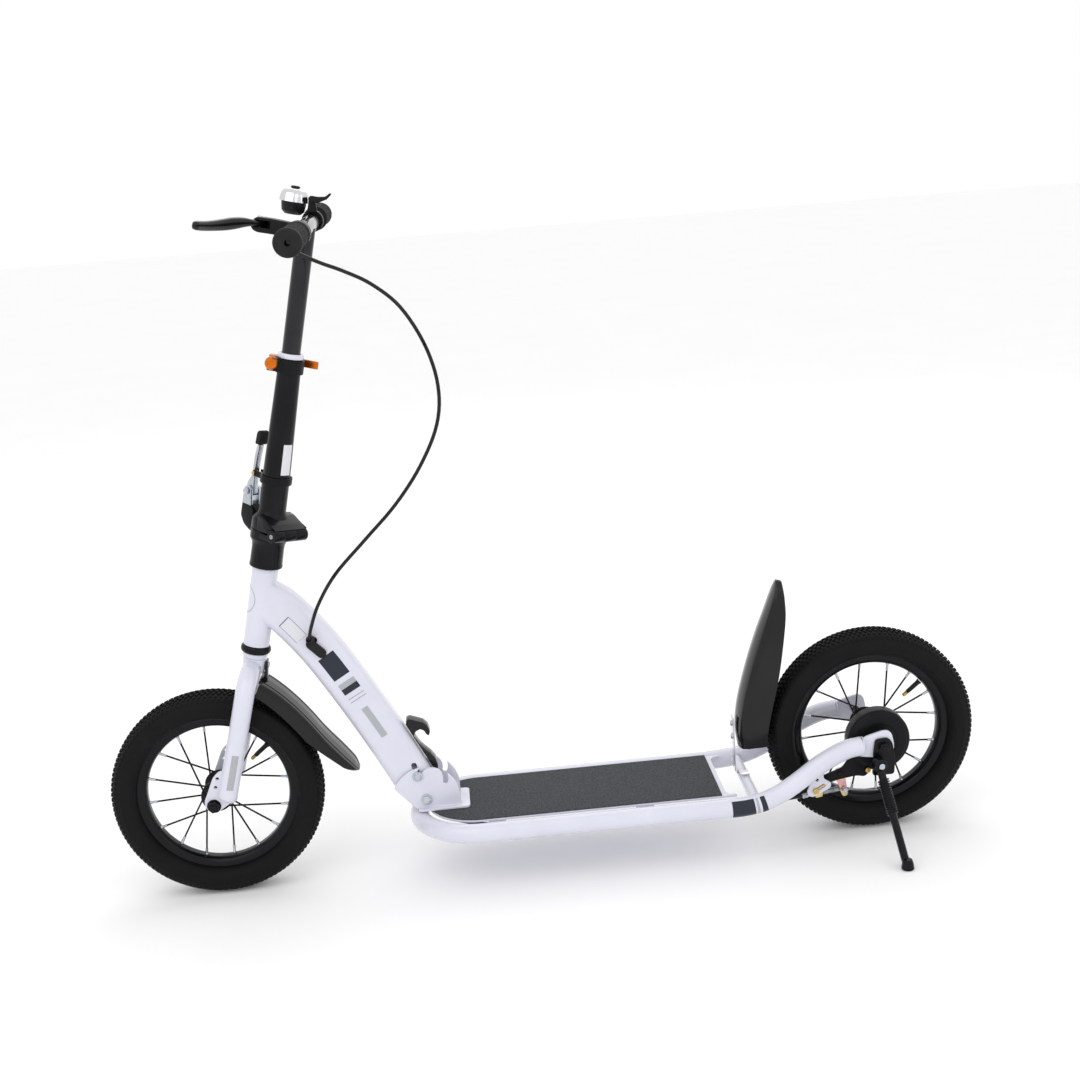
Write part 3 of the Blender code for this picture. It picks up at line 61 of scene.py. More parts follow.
# ---------------------------------------------------------------- dimensions
WHEELBASE = 0.940
TYRE_RADIUS = 0.150
RIM_OUTER, RIM_INNER, RIM_HALF = 0.1125, 0.0995, 0.01325
HUB_FLANGE, FLANGE_OUT = 0.0225, 0.0215
SPOKES = 16
VALVE_TURN = radians(39.4)
HEAD_LEAN = radians(13.2)
RAKE = 0.028
FORK_SPREAD, FORK_TUBE = 0.053, 0.0135
HEAD_BOTTOM, HEAD_TOP, HEAD_RADIUS = 0.2243, 0.3370, 0.0180
HINGE_LEVEL, HINGE_OFFSET, HINGE_TWIST = 0.392, 0.037, radians(45.0)
STEM_TOP, STEM_RADIUS_LOW, STEM_RADIUS_TOP = 0.6215, 0.0186, 0.0155
POST_RADIUS, POST_LOW = 0.0125, 0.545
BAR_LEVEL, BAR_RADIUS, BAR_HALF = 0.8026, 0.0111, 0.300
GRIP_INNER, GRIP_HALF, GRIP_RADIUS = 0.190, 0.3134, 0.0170
RAIL_RADIUS, RAIL_HALF, RAIL_HEIGHT = 0.0135, 0.088, 0.084
LOOP_CENTRE = -0.1015
PLATE_REAR, MAT_REAR, MAT_HALF, MAT_TOP = 0.246, 0.239, 0.0752, 0.0995
STAY_HALF = 0.0745
PIVOT = Vector((-0.1768, 0.0, 0.1155))
LOCK_RADIUS, LOCK_ANGLE, FOLD, LOCK_PIN = 0.0375, radians(104.8), radians(65.0), 0.003
BRACKET_RADIUS, BRACKET_BASE = 0.0485, 0.0998
TUBE_WIDE, TUBE_DEEP, TUBE_WALL = 0.040, 0.059, 0.0025
ARM_PIVOT = (0.412, -0.0527, 0.106)
CABLE_ENTRY, CABLE_ENTRY_AIM = (-0.3155, -0.030, 0.370), (0.55, 1.0, -0.35)
KICK_PIVOT, KICK_FOOT = Vector((0.460, -0.0905, 0.128)), Vector((0.478, -0.160, 0.0))


def shift(x=0.0, y=0.0, z=0.0):
    return Matrix.Translation((x, y, z))


def spun(degrees, axis="Z"):
    return Matrix.Rotation(radians(degrees), 4, axis)


def facing(direction, point=(0.0, 0.0, 0.0)):
    """A place at a point whose Z axis looks along a direction."""
    turn = Vector(direction).to_track_quat("Z", "Y").to_matrix().to_4x4()
    return Matrix.Translation(point) @ turn


SIDE = spun(90, "X")
TWIST = Matrix.Rotation(HINGE_TWIST, 4, "Z")
STEER = shift(-WHEELBASE / 2 + RAKE * cos(HEAD_LEAN), 0.0, TYRE_RADIUS - RAKE * sin(HEAD_LEAN))
STEER = STEER @ Matrix.Rotation(HEAD_LEAN, 4, "Y")
WHEEL_AT = {
    "front": shift(-WHEELBASE / 2, 0.0, TYRE_RADIUS) @ SIDE,
    "rear": shift(WHEELBASE / 2, 0.0, TYRE_RADIUS) @ SIDE,
}
FOLD_AT = Matrix.Translation(PIVOT)
HINGE_AT = STEER @ shift(z=HINGE_LEVEL) @ TWIST @ shift(y=-HINGE_OFFSET)
LATCH_AT = STEER @ shift(z=0.434) @ TWIST @ shift(y=0.0455)
BARS_AT = STEER @ shift(z=BAR_LEVEL)
CAM_AT = STEER @ shift(-0.0225, 0.026, 0.6205)
BRAKE_AT = STEER @ shift(-0.046, -0.150, BAR_LEVEL + 0.006)
BELL_AT = STEER @ shift(-0.0040, 0.1140, BAR_LEVEL + 0.030)
ARM_AT = Matrix.Translation(ARM_PIVOT) @ SIDE
STAND_SPREAD = KICK_FOOT - KICK_PIVOT
STAND_AT = facing((STAND_SPREAD.x, STAND_SPREAD.y, 0.0), KICK_PIVOT)
CLAMP_AT = STEER @ shift(-0.0230, 0.0, 0.6205) @ SIDE


# ------------------------------------------------------------------ settings
def colour(label, about, value):
    return bpy.props.FloatVectorProperty(
        name=label, description=about, subtype="COLOR", size=3, min=0.0, max=1.0, default=value)


def length(label, about, value):
    return bpy.props.FloatProperty(
        name=label, description=about, default=value, min=0.0, unit="LENGTH", precision=4)


class ScooterPaint(bpy.types.PropertyGroup):
    """Colours of the paint, the plating, the rubber and the trim."""
    white: colour("White paint", "Gloss paint of the frame, deck and fork", (0.66, 0.665, 0.76))
    black: colour("Black paint", "Gloss paint of the stem, rims and hubs", (0.0045, 0.005, 0.0062))
    plastic: colour("Black plastic", "Moulded guards, levers and handle", (0.009, 0.009, 0.010))
    tyre: colour("Tyre rubber", "Tread and side walls", (0.0060, 0.0060, 0.0066))
    rubber: colour("Soft rubber", "Grips, boot and lever tip", (0.017, 0.016, 0.016))
    grit: colour("Deck mat", "Gritty non-slip sheet", (0.066, 0.071, 0.076))
    stripe: colour("Stripe", "Dark stripes on the tubes", (0.016, 0.021, 0.034))
    pale_stripe: colour("Pale stripe", "Grey stripes on the tubes", (0.38, 0.40, 0.42))
    anodised: colour("Anodising", "Height lever and clamp nut", (0.62, 0.15, 0.012))


class ScooterWheels(bpy.types.PropertyGroup):
    """Sizes of the tread, spokes and nipples."""
    knobs: bpy.props.IntProperty(
        name="Knobs", description="Tread knobs in one row round the tyre", default=120, min=24)
    knob_height: length("Knob height", "How far a knob stands from the tread", 0.0026)
    spoke_radius: length("Spoke radius", "Half the gauge of a spoke", 0.0013)
    nipple: length("Nipple length", "Plated nipple at the rim end of a spoke", 0.0118)


class ScooterDetail(bpy.types.PropertyGroup):
    """Counts of small repeated features."""
    grip_ribs: bpy.props.IntProperty(
        name="Grip ribs", description="Raised rings along one grip", default=27, min=4)
    bell_flutes: bpy.props.IntProperty(
        name="Bell flutes", description="Scallops round the bell's dome", default=10, min=3)
    spring_turns: bpy.props.IntProperty(
        name="Spring turns", description="Turns of the spring on the stand's leg", default=15, min=3)
    cable_radius: length("Cable radius", "Half the width of the brake cable's outer sleeve", 0.0025)


class ScooterStage(bpy.types.PropertyGroup):
    """Floor, light and camera."""
    floor: colour("Floor", "Plain pale floor and surroundings", (0.98, 0.98, 0.98))
    key_power: bpy.props.FloatProperty(
        name="Key light", description="Power of the large soft light", default=16.0, min=0.0,
        unit="POWER")
    lens: bpy.props.FloatProperty(
        name="Lens", description="Focal length of the camera in millimetres", default=53.36, min=10.0)
    camera_at: bpy.props.FloatVectorProperty(
        name="Camera position", description="Where the camera stands", size=3, unit="LENGTH",
        subtype="TRANSLATION", default=(-0.0997, -2.1466, 1.0392))
    camera_turn: bpy.props.FloatVectorProperty(
        name="Camera turn", description="Heading, dip and roll of the camera", size=3,
        subtype="EULER", default=(radians(3.034), radians(14.7335), radians(-4.4407)))


# ------------------------------------------------------------------ geometry
def stack_rings(rings, closed=False, bm=None):
    """Quads between rings of points; open stacks get a flat cap at each end."""
    bm = bm or bmesh.new()
    loops = [[bm.verts.new(point) for point in ring] for ring in rings]
    count = len(loops[0])
    pairs = list(zip(loops, loops[1:]))
    if closed:
        pairs.append((loops[-1], loops[0]))
    for low, high in pairs:
        for i in range(count):
            j = (i + 1) % count
            bm.faces.new((low[i], low[j], high[j], high[i]))
    if not closed:
        bm.faces.new(list(reversed(loops[0])))
        bm.faces.new(loops[-1])
    return bm


def turned(profile, sides=64, at=None, flutes=0, depth=0.0):
    """A solid of revolution about Z from (radius, height) points, fluted where asked."""
    bm = bmesh.new()
    loops = []
    for radius, height in profile:
        if radius < 1e-7:
            loops.append([bm.verts.new((0.0, 0.0, height))])
            continue
        ring = []
        for i in range(sides):
            a = 2 * pi * i / sides
            r = radius * (1 - depth * (0.5 + 0.5 * cos(flutes * a))) if flutes else radius
            ring.append(bm.verts.new((r * cos(a), r * sin(a), height)))
        loops.append(ring)
    closed = len(loops[0]) > 1 and len(loops[-1]) > 1
    pairs = list(zip(loops, loops[1:]))
    if closed:
        pairs.append((loops[-1], loops[0]))
    for low, high in pairs:
        for i in range(sides):
            j = (i + 1) % sides
            if len(low) == 1:
                bm.faces.new((low[0], high[j], high[i]))
            elif len(high) == 1:
                bm.faces.new((low[i], low[j], high[0]))
            else:
                bm.faces.new((low[i], low[j], high[j], high[i]))
    return moved(bm, at)


def moved(bm, at):
    if at is not None:
        bmesh.ops.transform(bm, matrix=at, verts=bm.verts)
    return bm


def rounded(profile, radius, steps=3):
    """A turned profile whose corners off the axis are rounded."""
    points = [Vector(p) for p in profile]
    ring = points[0].x > 1e-7 and points[-1].x > 1e-7
    out = []
    for i, here in enumerate(points):
        if not ring and i in (0, len(points) - 1):
            out.append(tuple(here))
            continue
        before, after = points[i - 1], points[(i + 1) % len(points)]
        out += corner(before, here, after, radius, steps)
    return out


def corner(before, here, after, radius, steps):
    back, on = before - here, after - here
    start = here + back.normalized() * min(radius, back.length * 0.48)
    end = here + on.normalized() * min(radius, on.length * 0.48)
    points = []
    for i in range(steps + 1):
        t = i / steps
        points.append(tuple(start * (1 - t) ** 2 + here * 2 * t * (1 - t) + end * t * t))
    return points


def soften(outline, radius, steps=4):
    """An outline with its corners rounded."""
    points = [Vector(p) for p in outline]
    out = []
    for i, here in enumerate(points):
        out += corner(points[i - 1], here, points[(i + 1) % len(points)], radius, steps)
    return out


def inset(outline, distance):
    """The outline moved inward by a distance."""
    points = [Vector(p) for p in outline]
    area = sum(a.x * b.y - b.x * a.y for a, b in zip(points, points[1:] + points[:1]))
    turn = 1.0 if area > 0 else -1.0
    out = []
    for i, here in enumerate(points):
        first = (here - points[i - 1]).normalized()
        second = (points[(i + 1) % len(points)] - here).normalized()
        a = Vector((-first.y, first.x)) * turn
        b = Vector((-second.y, second.x)) * turn
        middle = (a + b).normalized() if (a + b).length > 1e-6 else a
        out.append(tuple(here + middle * (distance / max(middle.dot(a), 0.5))))
    return out


def slab(outline, low, high, edge=0.0006, at=None, steps=3):
    """An outline in XY carried along Z, with rounded edges at both faces."""
    rings = []
    for i in range(steps + 1):
        a = pi / 2 * i / steps
        rings.append((inset(outline, edge * (1 - sin(a))), low + edge * (1 - cos(a))))
    rings += [(points, low + high - z) for points, z in reversed(rings)]
    return moved(stack_rings([[(x, y, z) for x, y in points] for points, z in rings]), at)


def prism(outline, low, high, at=None):
    return moved(stack_rings([[(x, y, z) for x, y in outline] for z in (low, high)]), at)


def rod(radius, low, high, sides=48, edge=0.0, at=None):
    profile = [(0.0, low), (radius, low), (radius, high), (0.0, high)]
    return turned(rounded(profile, edge) if edge else profile, sides, at)


def arc(centre, radius, start, end, steps):
    """Points along an arc; the angles are in degrees."""
    turns = [radians(start + (end - start) * i / steps) for i in range(steps + 1)]
    return [(centre[0] + radius * cos(a), centre[1] + radius * sin(a)) for a in turns]


def round_rect(width, depth, radius, steps=6):
    x, y = width / 2 - radius, depth / 2 - radius
    outline = []
    for cx, cy, turn in ((x, y, 0), (-x, y, 90), (-x, -y, 180), (x, -y, 270)):
        outline += arc((cx, cy), radius, turn, turn + 90, steps)
    return outline


def circle(radius, sides=24, tall=1.0):
    turns = [2 * pi * i / sides for i in range(sides)]
    return [(radius * cos(a), radius * tall * sin(a)) for a in turns]


def smooth_path(points, steps):
    """A Catmull-Rom curve through the points."""
    points = [Vector(p) for p in points]
    ends = [2 * points[0] - points[1], *points, 2 * points[-1] - points[-2]]
    path = []
    for p0, p1, p2, p3 in zip(ends, ends[1:], ends[2:], ends[3:]):
        for i in range(steps):
            t = i / steps
            bend = (2 * p0 - 5 * p1 + 4 * p2 - p3) * t * t + (3 * p1 - p0 - 3 * p2 + p3) * t ** 3
            path.append(0.5 * (2 * p1 + (p2 - p0) * t + bend))
    path.append(points[-1])
    return path


def swept(path, sections, side, at=None, bm=None):
    """A section, or one for each point, carried along a path, its first axis near side."""
    side = Vector(side)
    path = [Vector(p) for p in path]
    if not isinstance(sections[0][0], (list, tuple)):
        sections = [sections] * len(path)
    rings = []
    for i, point in enumerate(path):
        along = (path[min(i + 1, len(path) - 1)] - path[max(i - 1, 0)]).normalized()
        across = (side - along * side.dot(along)).normalized()
        third = along.cross(across)
        rings.append([point + across * u + third * v for u, v in sections[i]])
    return moved(stack_rings(rings, bm=bm), at)


def tube(path, radius, side=(0.0, 0.0, 1.0), sides=16, cap=True, at=None):
    """A round bar along a path, its ends rounded where asked."""
    path = [Vector(p) for p in path]
    scales = [1.0] * len(path)
    if cap:
        for end, near in ((0, 1), (-1, -2)):
            out = (path[end] - path[near]).normalized()
            tips = [path[end] + out * radius * 0.45 * sin(a) for a in (0.6, 1.1, 1.5)]
            sizes = [cos(a) for a in (0.6, 1.1, 1.5)]
            if end == 0:
                path, scales = tips[::-1] + path, sizes[::-1] + scales
            else:
                path, scales = path + tips, scales + sizes
    return swept(path, [circle(radius * s, sides) for s in scales], side, at)


def coil(radius, wire, pitch, turns, at, sides=8, steps=18):
    """A round wire wound round Z."""
    path = []
    for i in range(int(turns * steps) + 1):
        a = 2 * pi * i / steps
        path.append(at @ Vector((radius * cos(a), radius * sin(a), pitch * i / steps)))
    rings = []
    core = (at.to_3x3() @ Vector((0, 0, 1))).normalized()
    for i, point in enumerate(path):
        along = (path[min(i + 1, len(path) - 1)] - path[max(i - 1, 0)]).normalized()
        out = along.cross(core).normalized()
        third = along.cross(out)
        rings.append([point + out * u + third * v for u, v in circle(wire, sides)])
    return stack_rings(rings)


def gather(*shapes):
    """Several shapes as one mesh; the first keeps its place in the vertex order."""
    whole = bmesh.new()
    for shape in shapes:
        bmesh.ops.recalc_face_normals(shape, faces=shape.faces)
        mesh = bpy.data.meshes.new("part")
        shape.to_mesh(mesh)
        shape.free()
        whole.from_mesh(mesh)
        bpy.data.meshes.remove(mesh)
    return whole


def work_object(shape):
    bmesh.ops.recalc_face_normals(shape, faces=shape.faces)
    mesh = bpy.data.meshes.new("work")
    shape.to_mesh(mesh)
    shape.free()
    obj = bpy.data.objects.new("work", mesh)
    bpy.context.scene.collection.objects.link(obj)
    return obj


def shaped(base, *steps):
    """The base with each (operation, shape) step's Boolean applied."""
    whole = work_object(base)
    others = []
    for operation, shape in steps:
        other = work_object(shape)
        modifier = whole.modifiers.new("step", "BOOLEAN")
        modifier.operation = operation
        modifier.solver = "EXACT"
        modifier.object = other
        others.append(other)
    graph = bpy.context.evaluated_depsgraph_get()
    result = bmesh.new()
    result.from_mesh(whole.evaluated_get(graph).to_mesh())
    for obj in (whole, *others):
        mesh = obj.data
        bpy.data.objects.remove(obj, do_unlink=True)
        bpy.data.meshes.remove(mesh)
    if not result.faces:
        raise RuntimeError("a Boolean left nothing")
    return result


ADD, CUT = "UNION", "DIFFERENCE"


def piece(name, shape, body, finish, slot=None, instead=(), crease=35.0):
    """Makes a named piece that rides on a body, with its finish. The slot argument is not used."""
    bmesh.ops.recalc_face_normals(shape, faces=shape.faces)
    mesh = bpy.data.meshes.new(name)
    shape.to_mesh(mesh)
    shape.free()
    mesh.materials.append(bpy.data.materials[f"{finish}_finish"])
    mesh.shade_smooth()
    mesh.set_sharp_from_angle(angle=radians(crease))
    obj = bpy.data.objects.new(name, mesh)
    bpy.context.scene.collection.objects.link(obj)
    if instead:
        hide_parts(*instead)
    if body:
        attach(obj, body)
    return obj


# ------------------------------------------------------------------ finishes
def finish(name, tones, rough, grain, bump, metallic=0.0, coat=0.0, patch=14.0,
           stretch=(1.0, 1.0, 1.0), cells=False, depth=0.0002, gloss=0.5):
    """A finish with patches of tone, uneven gloss and a fine grain in its surface."""
    made = bpy.data.materials.new(f"{name}_finish")
    made.use_nodes = True
    nodes, link = made.node_tree.nodes, made.node_tree.links.new
    shader = nodes["Principled BSDF"]
    shader.inputs["Metallic"].default_value = metallic
    shader.inputs["Coat Weight"].default_value = coat
    shader.inputs["Coat Roughness"].default_value = 0.06
    shader.inputs["Specular IOR Level"].default_value = gloss
    place = nodes.new("ShaderNodeTexCoord")
    scale = nodes.new("ShaderNodeMapping")
    scale.inputs["Scale"].default_value = stretch
    link(place.outputs["Object"], scale.inputs["Vector"])
    cloud = nodes.new("ShaderNodeTexNoise")
    cloud.inputs["Scale"].default_value = patch
    cloud.inputs["Detail"].default_value = 5.0
    cloud.inputs["Roughness"].default_value = 0.6
    link(scale.outputs["Vector"], cloud.inputs["Vector"])
    ramp = nodes.new("ShaderNodeValToRGB")
    while len(ramp.color_ramp.elements) < len(tones):
        ramp.color_ramp.elements.new(0.5)
    for i, (stop, tone) in enumerate(zip(ramp.color_ramp.elements, tones)):
        stop.position = 0.30 + 0.40 * i / (len(tones) - 1)
        stop.color = (*tone, 1.0)
    link(cloud.outputs["Fac"], ramp.inputs["Fac"])
    link(ramp.outputs["Color"], shader.inputs["Base Color"])
    fine = nodes.new("ShaderNodeTexVoronoi" if cells else "ShaderNodeTexNoise")
    fine.inputs["Scale"].default_value = grain
    if not cells:
        fine.inputs["Detail"].default_value = 3.0
    link(scale.outputs["Vector"], fine.inputs["Vector"])
    fine_out = fine.outputs["Distance" if cells else "Fac"]
    spread = nodes.new("ShaderNodeMapRange")
    spread.inputs["From Min"].default_value = 0.3
    spread.inputs["From Max"].default_value = 0.7
    spread.inputs["To Min"].default_value = rough[0]
    spread.inputs["To Max"].default_value = rough[1]
    link(cloud.outputs["Fac"], spread.inputs["Value"])
    link(spread.outputs["Result"], shader.inputs["Roughness"])
    raised = nodes.new("ShaderNodeBump")
    raised.inputs["Strength"].default_value = bump
    raised.inputs["Distance"].default_value = depth
    link(fine_out, raised.inputs["Height"])
    link(raised.outputs["Normal"], shader.inputs["Normal"])
    return made


def shades(base, *factors):
    return [tuple(min(c * f, 1.0) for c in base) for f in factors]


def make_finishes(paint):
    finish("white_paint", shades(paint.white, 0.96, 1.0, 1.03), (0.18, 0.28), 700, 0.03, coat=0.5)
    finish("black_paint", shades(paint.black, 0.6, 0.9, 1.3), (0.12, 0.22), 800, 0.03, coat=0.08,
           gloss=0.14)
    finish("satin_black", shades(paint.black, 0.8, 1.1, 1.5), (0.30, 0.44), 1500, 0.10, gloss=0.14)
    finish("black_plastic", shades(paint.plastic, 0.6, 0.9, 1.2), (0.34, 0.48), 1900, 0.16,
           gloss=0.18)
    finish("gloss_plastic", shades(paint.plastic, 0.5, 0.7, 0.9), (0.12, 0.22), 1200, 0.04,
           coat=0.08, gloss=0.25)
    finish("tyre_rubber", shades(paint.tyre, 0.6, 0.9, 1.3), (0.50, 0.70), 1300, 0.22, patch=30,
           gloss=0.12)
    finish("rubber", shades(paint.rubber, 0.7, 1.0, 1.3), (0.56, 0.76), 1700, 0.25, patch=40,
           gloss=0.16)
    finish("zinc", [(0.42, 0.48, 0.56), (0.52, 0.55, 0.60), (0.60, 0.60, 0.60)], (0.20, 0.34),
           900, 0.06, metallic=1.0, patch=60, stretch=(1, 3, 1))
    finish("steel", [(0.30, 0.30, 0.32), (0.40, 0.40, 0.42)], (0.24, 0.40), 1200, 0.10,
           metallic=1.0, patch=90, stretch=(1, 5, 1))
    finish("chrome", [(0.62, 0.62, 0.64), (0.72, 0.72, 0.74)], (0.05, 0.11), 600, 0.02,
           metallic=1.0, patch=25)
    finish("dark_chrome", [(0.006, 0.006, 0.008), (0.012, 0.012, 0.015)], (0.07, 0.14), 900, 0.03,
           coat=0.10, patch=20, gloss=0.30)
    finish("brass", [(0.50, 0.33, 0.09), (0.64, 0.45, 0.15)], (0.20, 0.32), 1200, 0.08,
           metallic=1.0, patch=70)
    finish("yellow_zinc", [(0.28, 0.52, 0.30), (0.70, 0.56, 0.18), (0.72, 0.40, 0.26),
                           (0.60, 0.34, 0.52), (0.42, 0.56, 0.34)],
           (0.20, 0.32), 900, 0.06, metallic=1.0, patch=85)
    finish("orange_anodised", shades(paint.anodised, 0.85, 1.0, 1.12), (0.22, 0.32), 2200, 0.08,
           metallic=0.85, patch=30, stretch=(1, 1, 6))
    finish("grip_mat", shades(paint.grit, 0.45, 0.9, 1.5), (0.86, 0.98), 620, 0.9, patch=420,
           cells=True, depth=0.0006, gloss=0.2)
    finish("stripe", shades(paint.stripe, 0.85, 1.0, 1.1), (0.26, 0.36), 900, 0.04, gloss=0.3)
    finish("pale_stripe", shades(paint.pale_stripe, 0.95, 1.0, 1.05), (0.26, 0.36), 900, 0.04)
    finish("label", [(0.66, 0.67, 0.72), (0.72, 0.72, 0.76)], (0.34, 0.46), 900, 0.05)
    finish("floor", shades(bpy.context.scene.scooter_stage.floor, 0.985, 1.0), (0.55, 0.70),
           60, 0.02, patch=3, gloss=0.1)


# -------------------------------------------------------------------- wheels
def tyre_profile():
    """Half of the tyre's outline, from the rim's edge to the crown, as (radius, width)."""
    half = [(0.1122, 0.0112), (0.1134, 0.0182), (0.1164, 0.0238), (0.1225, 0.0270),
            (0.1305, 0.0275), (0.1378, 0.0259), (0.1432, 0.0222), (0.1462, 0.0160),
            (0.1472, 0.0080), (0.1474, 0.0)]
    return [(p.x, p.y) for p in smooth_path([(r, z, 0.0) for r, z in half], 6)]


def tyre(settings):
    """The carcass with its ridged side walls, and the rows of knobs and lugs."""
    half = []
    for r, z in tyre_profile():
        for ridge, tall in ((0.1178, 0.0007), (0.1212, 0.0005), (0.1345, 0.0006)):
            z += tall * max(0.0, 1 - abs(r - ridge) / 0.0008) if z > 0.02 else 0.0
        half.append((r, z))
    body = turned(half + [(r, -z) for r, z in reversed(half[:-1])], 144)
    tread = bmesh.new()
    count, tall = settings.knobs, settings.knob_height

    def block(turn, low, high, wide, rise):
        """A tapered knob between two (radius, width) points of the carcass."""
        a, b = Vector(low), Vector(high)
        out = Vector((b.y - a.y, a.x - b.x)).normalized()
        if out.x < 0:
            out = -out
        ring = []
        for lift, shrink in ((-0.0012, 1.0), (rise * 0.8, 0.86), (rise, 0.72)):
            mid = (a + b) / 2
            ends = [mid + (p - mid) * shrink + out * lift for p in (a, b)]
            w = wide / 2 * shrink
            corners = [(ends[0], -w), (ends[0], w), (ends[1], w), (ends[1], -w)]
            points = []
            for p, t in corners:
                points.append((p.x * cos(turn) - t * sin(turn), p.x * sin(turn) + t * cos(turn), p.y))
            ring.append(points)
        stack_rings(ring, bm=tread)

    crown = TYRE_RADIUS - tall
    for i in range(count):
        turn = 2 * pi * i / count
        step = pi / count
        block(turn, (crown, -0.0026), (crown, 0.0026), 0.0050, tall)
        for side in (-1, 1):
            block(turn + step, (crown - 0.0001, side * 0.0052), (crown - 0.0003, side * 0.0098),
                  0.0048, tall)
            block(turn, (crown - 0.0008, side * 0.0120), (crown - 0.0022, side * 0.0168),
                  0.0046, tall * 0.85)
            block(turn + step, (0.1448, side * 0.0190), (0.1405, side * 0.0243), 0.0040,
                  tall * 0.62)
    return gather(body, tread)


def wheel(end, settings):
    at = WHEEL_AT[end]
    body = f"{end}_wheel"
    piece(f"{end}_tyre_tread", moved(tyre(settings), at), body, "tyre_rubber",
          instead=[f"{end}_tyre"], crease=28)
    ring = [(RIM_INNER, -0.0050), (RIM_INNER, 0.0050), (RIM_INNER + 0.0022, 0.0102),
            (RIM_INNER + 0.0060, 0.0126), (RIM_OUTER + 0.0014, 0.0134), (RIM_OUTER + 0.0020, 0.0120),
            (RIM_OUTER - 0.0010, 0.0098)]
    ring += [(r, -z) for r, z in reversed(ring[2:])]
    piece(f"{end}_rim_hoop", turned(rounded(ring, 0.0012), 160, at), body, "black_paint",
          instead=[f"{end}_rim"], crease=30)
    hub = [(0.0054, -0.0300), (0.0098, -0.0300), (0.0100, -0.0262), (0.0120, -0.0250),
           (HUB_FLANGE, -0.0232), (HUB_FLANGE, -0.0198), (0.0140, -0.0178), (0.0112, -0.0140)]
    hub += [(r, -z) for r, z in reversed(hub)]
    shell = turned(rounded(hub, 0.0012), 72)
    spokes, nipples, heads = [], [], []
    for i in range(SPOKES):
        turn = 2 * pi * (i + 0.25) / SPOKES
        side = 1 if i % 2 else -1
        lead = radians(38) if (i // 2) % 2 else -radians(38)
        start = Vector((0.0192 * cos(turn - lead), 0.0192 * sin(turn - lead), side * FLANGE_OUT))
        finish_at = Vector((RIM_INNER * cos(turn), RIM_INNER * sin(turn), side * 0.0030))
        along = (finish_at - start).normalized()
        heel = start + Vector((0.0, 0.0, side * 0.0024))
        spokes.append(tube(smooth_path([heel, start + along * 0.0016, finish_at], 4),
                           settings.spoke_radius, (along.y, -along.x, 0.3), 10))
        heads.append(turned([(0.0, 0.0), (0.0021, 0.0002), (0.0019, 0.0010), (0.0, 0.0015)], 16,
                            shift(start.x, start.y, side * 0.0234) @ spun(0 if side > 0 else 180, "X")))
        grip = [(0.0, 0.0), (0.0017, 0.0), (0.0019, 0.0010), (0.0019, settings.nipple - 0.004),
                (0.0024, settings.nipple - 0.0032), (0.0024, settings.nipple), (0.0, settings.nipple)]
        nipples.append(turned(rounded(grip, 0.0004), 12,
                              facing(along, finish_at - along * (settings.nipple - 0.0012))))
    piece(f"{end}_hub_shell", gather(moved(shell, None), *spokes, *heads), body, "black_paint",
          instead=[f"{end}_hub_and_spokes"]).data.transform(at)
    piece(f"{end}_spoke_nipples", moved(gather(*nipples), at), body, "zinc")
    inward = facing(Vector((cos(VALVE_TURN), sin(VALVE_TURN), 0.0)) * -1)
    reach = RIM_INNER - 0.0008
    stem = [(0.0, -reach), (0.0044, -reach), (0.0042, -reach + 0.0016), (0.0034, -reach + 0.0036),
            (0.0031, -reach + 0.0230), (0.0026, -reach + 0.0245), (0.0, -reach + 0.0245)]
    piece(f"{end}_valve_stem", turned(rounded(stem, 0.0005), 24, at @ inward), body, "rubber",
          instead=[f"{end}_valve"])
    cap = [(0.0, -reach + 0.0243), (0.0027, -reach + 0.0243), (0.0027, -reach + 0.0305),
           (0.0019, -reach + 0.0320), (0.0, -reach + 0.0320)]
    piece(f"{end}_valve_cap", turned(rounded(cap, 0.0004), 20, at @ inward, flutes=10, depth=0.06),
          body, "brass")


def hex_nut(radius, low, high, at):
    outline = [(radius * cos(a), radius * sin(a)) for a in (pi / 3 * i + 0.2 for i in range(6))]
    return slab(soften(outline, 0.0006, 2), low, high, 0.0007, at)


def washer(radius, hole, low, high, at):
    return turned(rounded([(hole, low), (radius, low), (radius, high), (hole, high)], 0.0004), 48, at)


def axle(name, at, half, nut_at, body):
    shapes = [rod(0.0046, -half, half, 32, 0.0008, at)]
    for i in range(8):
        for side in (-1, 1):
            z = side * (nut_at + 0.0078 + i * 0.0006)
            if abs(z) < half - 0.001:
                shapes.append(washer(0.0049, 0.0040, z - 0.00018, z + 0.00018, at))
    for side in (-1, 1):
        low, high = sorted((side * (nut_at + 0.0012), side * (nut_at + 0.0070)))
        shapes.append(hex_nut(0.0084, low, high, at))
        low, high = sorted((side * nut_at, side * (nut_at + 0.0012)))
        shapes.append(washer(0.0098, 0.0046, low, high, at))
    piece(f"{name}_bolted", gather(*shapes), body, "black_paint", instead=[name])


# ------------------------------------------------------------------- the deck
def rail_route(steps=4):
    """Centre line of the deck loop, from the left stay round the front to the right stay."""
    stay = [(0.4395, STAY_HALF, 0.1525), (0.420, 0.0752, 0.1500), (0.400, 0.0768, 0.1430),
            (0.380, 0.0787, 0.1330), (0.360, 0.0808, 0.1205), (0.340, 0.0830, 0.1080),
            (0.318, 0.0853, 0.0965), (0.295, 0.0871, 0.0885), (0.270, RAIL_HALF, 0.0848),
            (0.245, RAIL_HALF, RAIL_HEIGHT)]
    left = smooth_path([(x, -y, z) for x, y, z in stay], steps)
    bend = [Vector((x, y, RAIL_HEIGHT))
            for x, y in arc((LOOP_CENTRE, 0.0), RAIL_HALF, 270, 90, 48)]
    right = [Vector((p.x, -p.y, p.z)) for p in reversed(left)]
    return left + bend + right


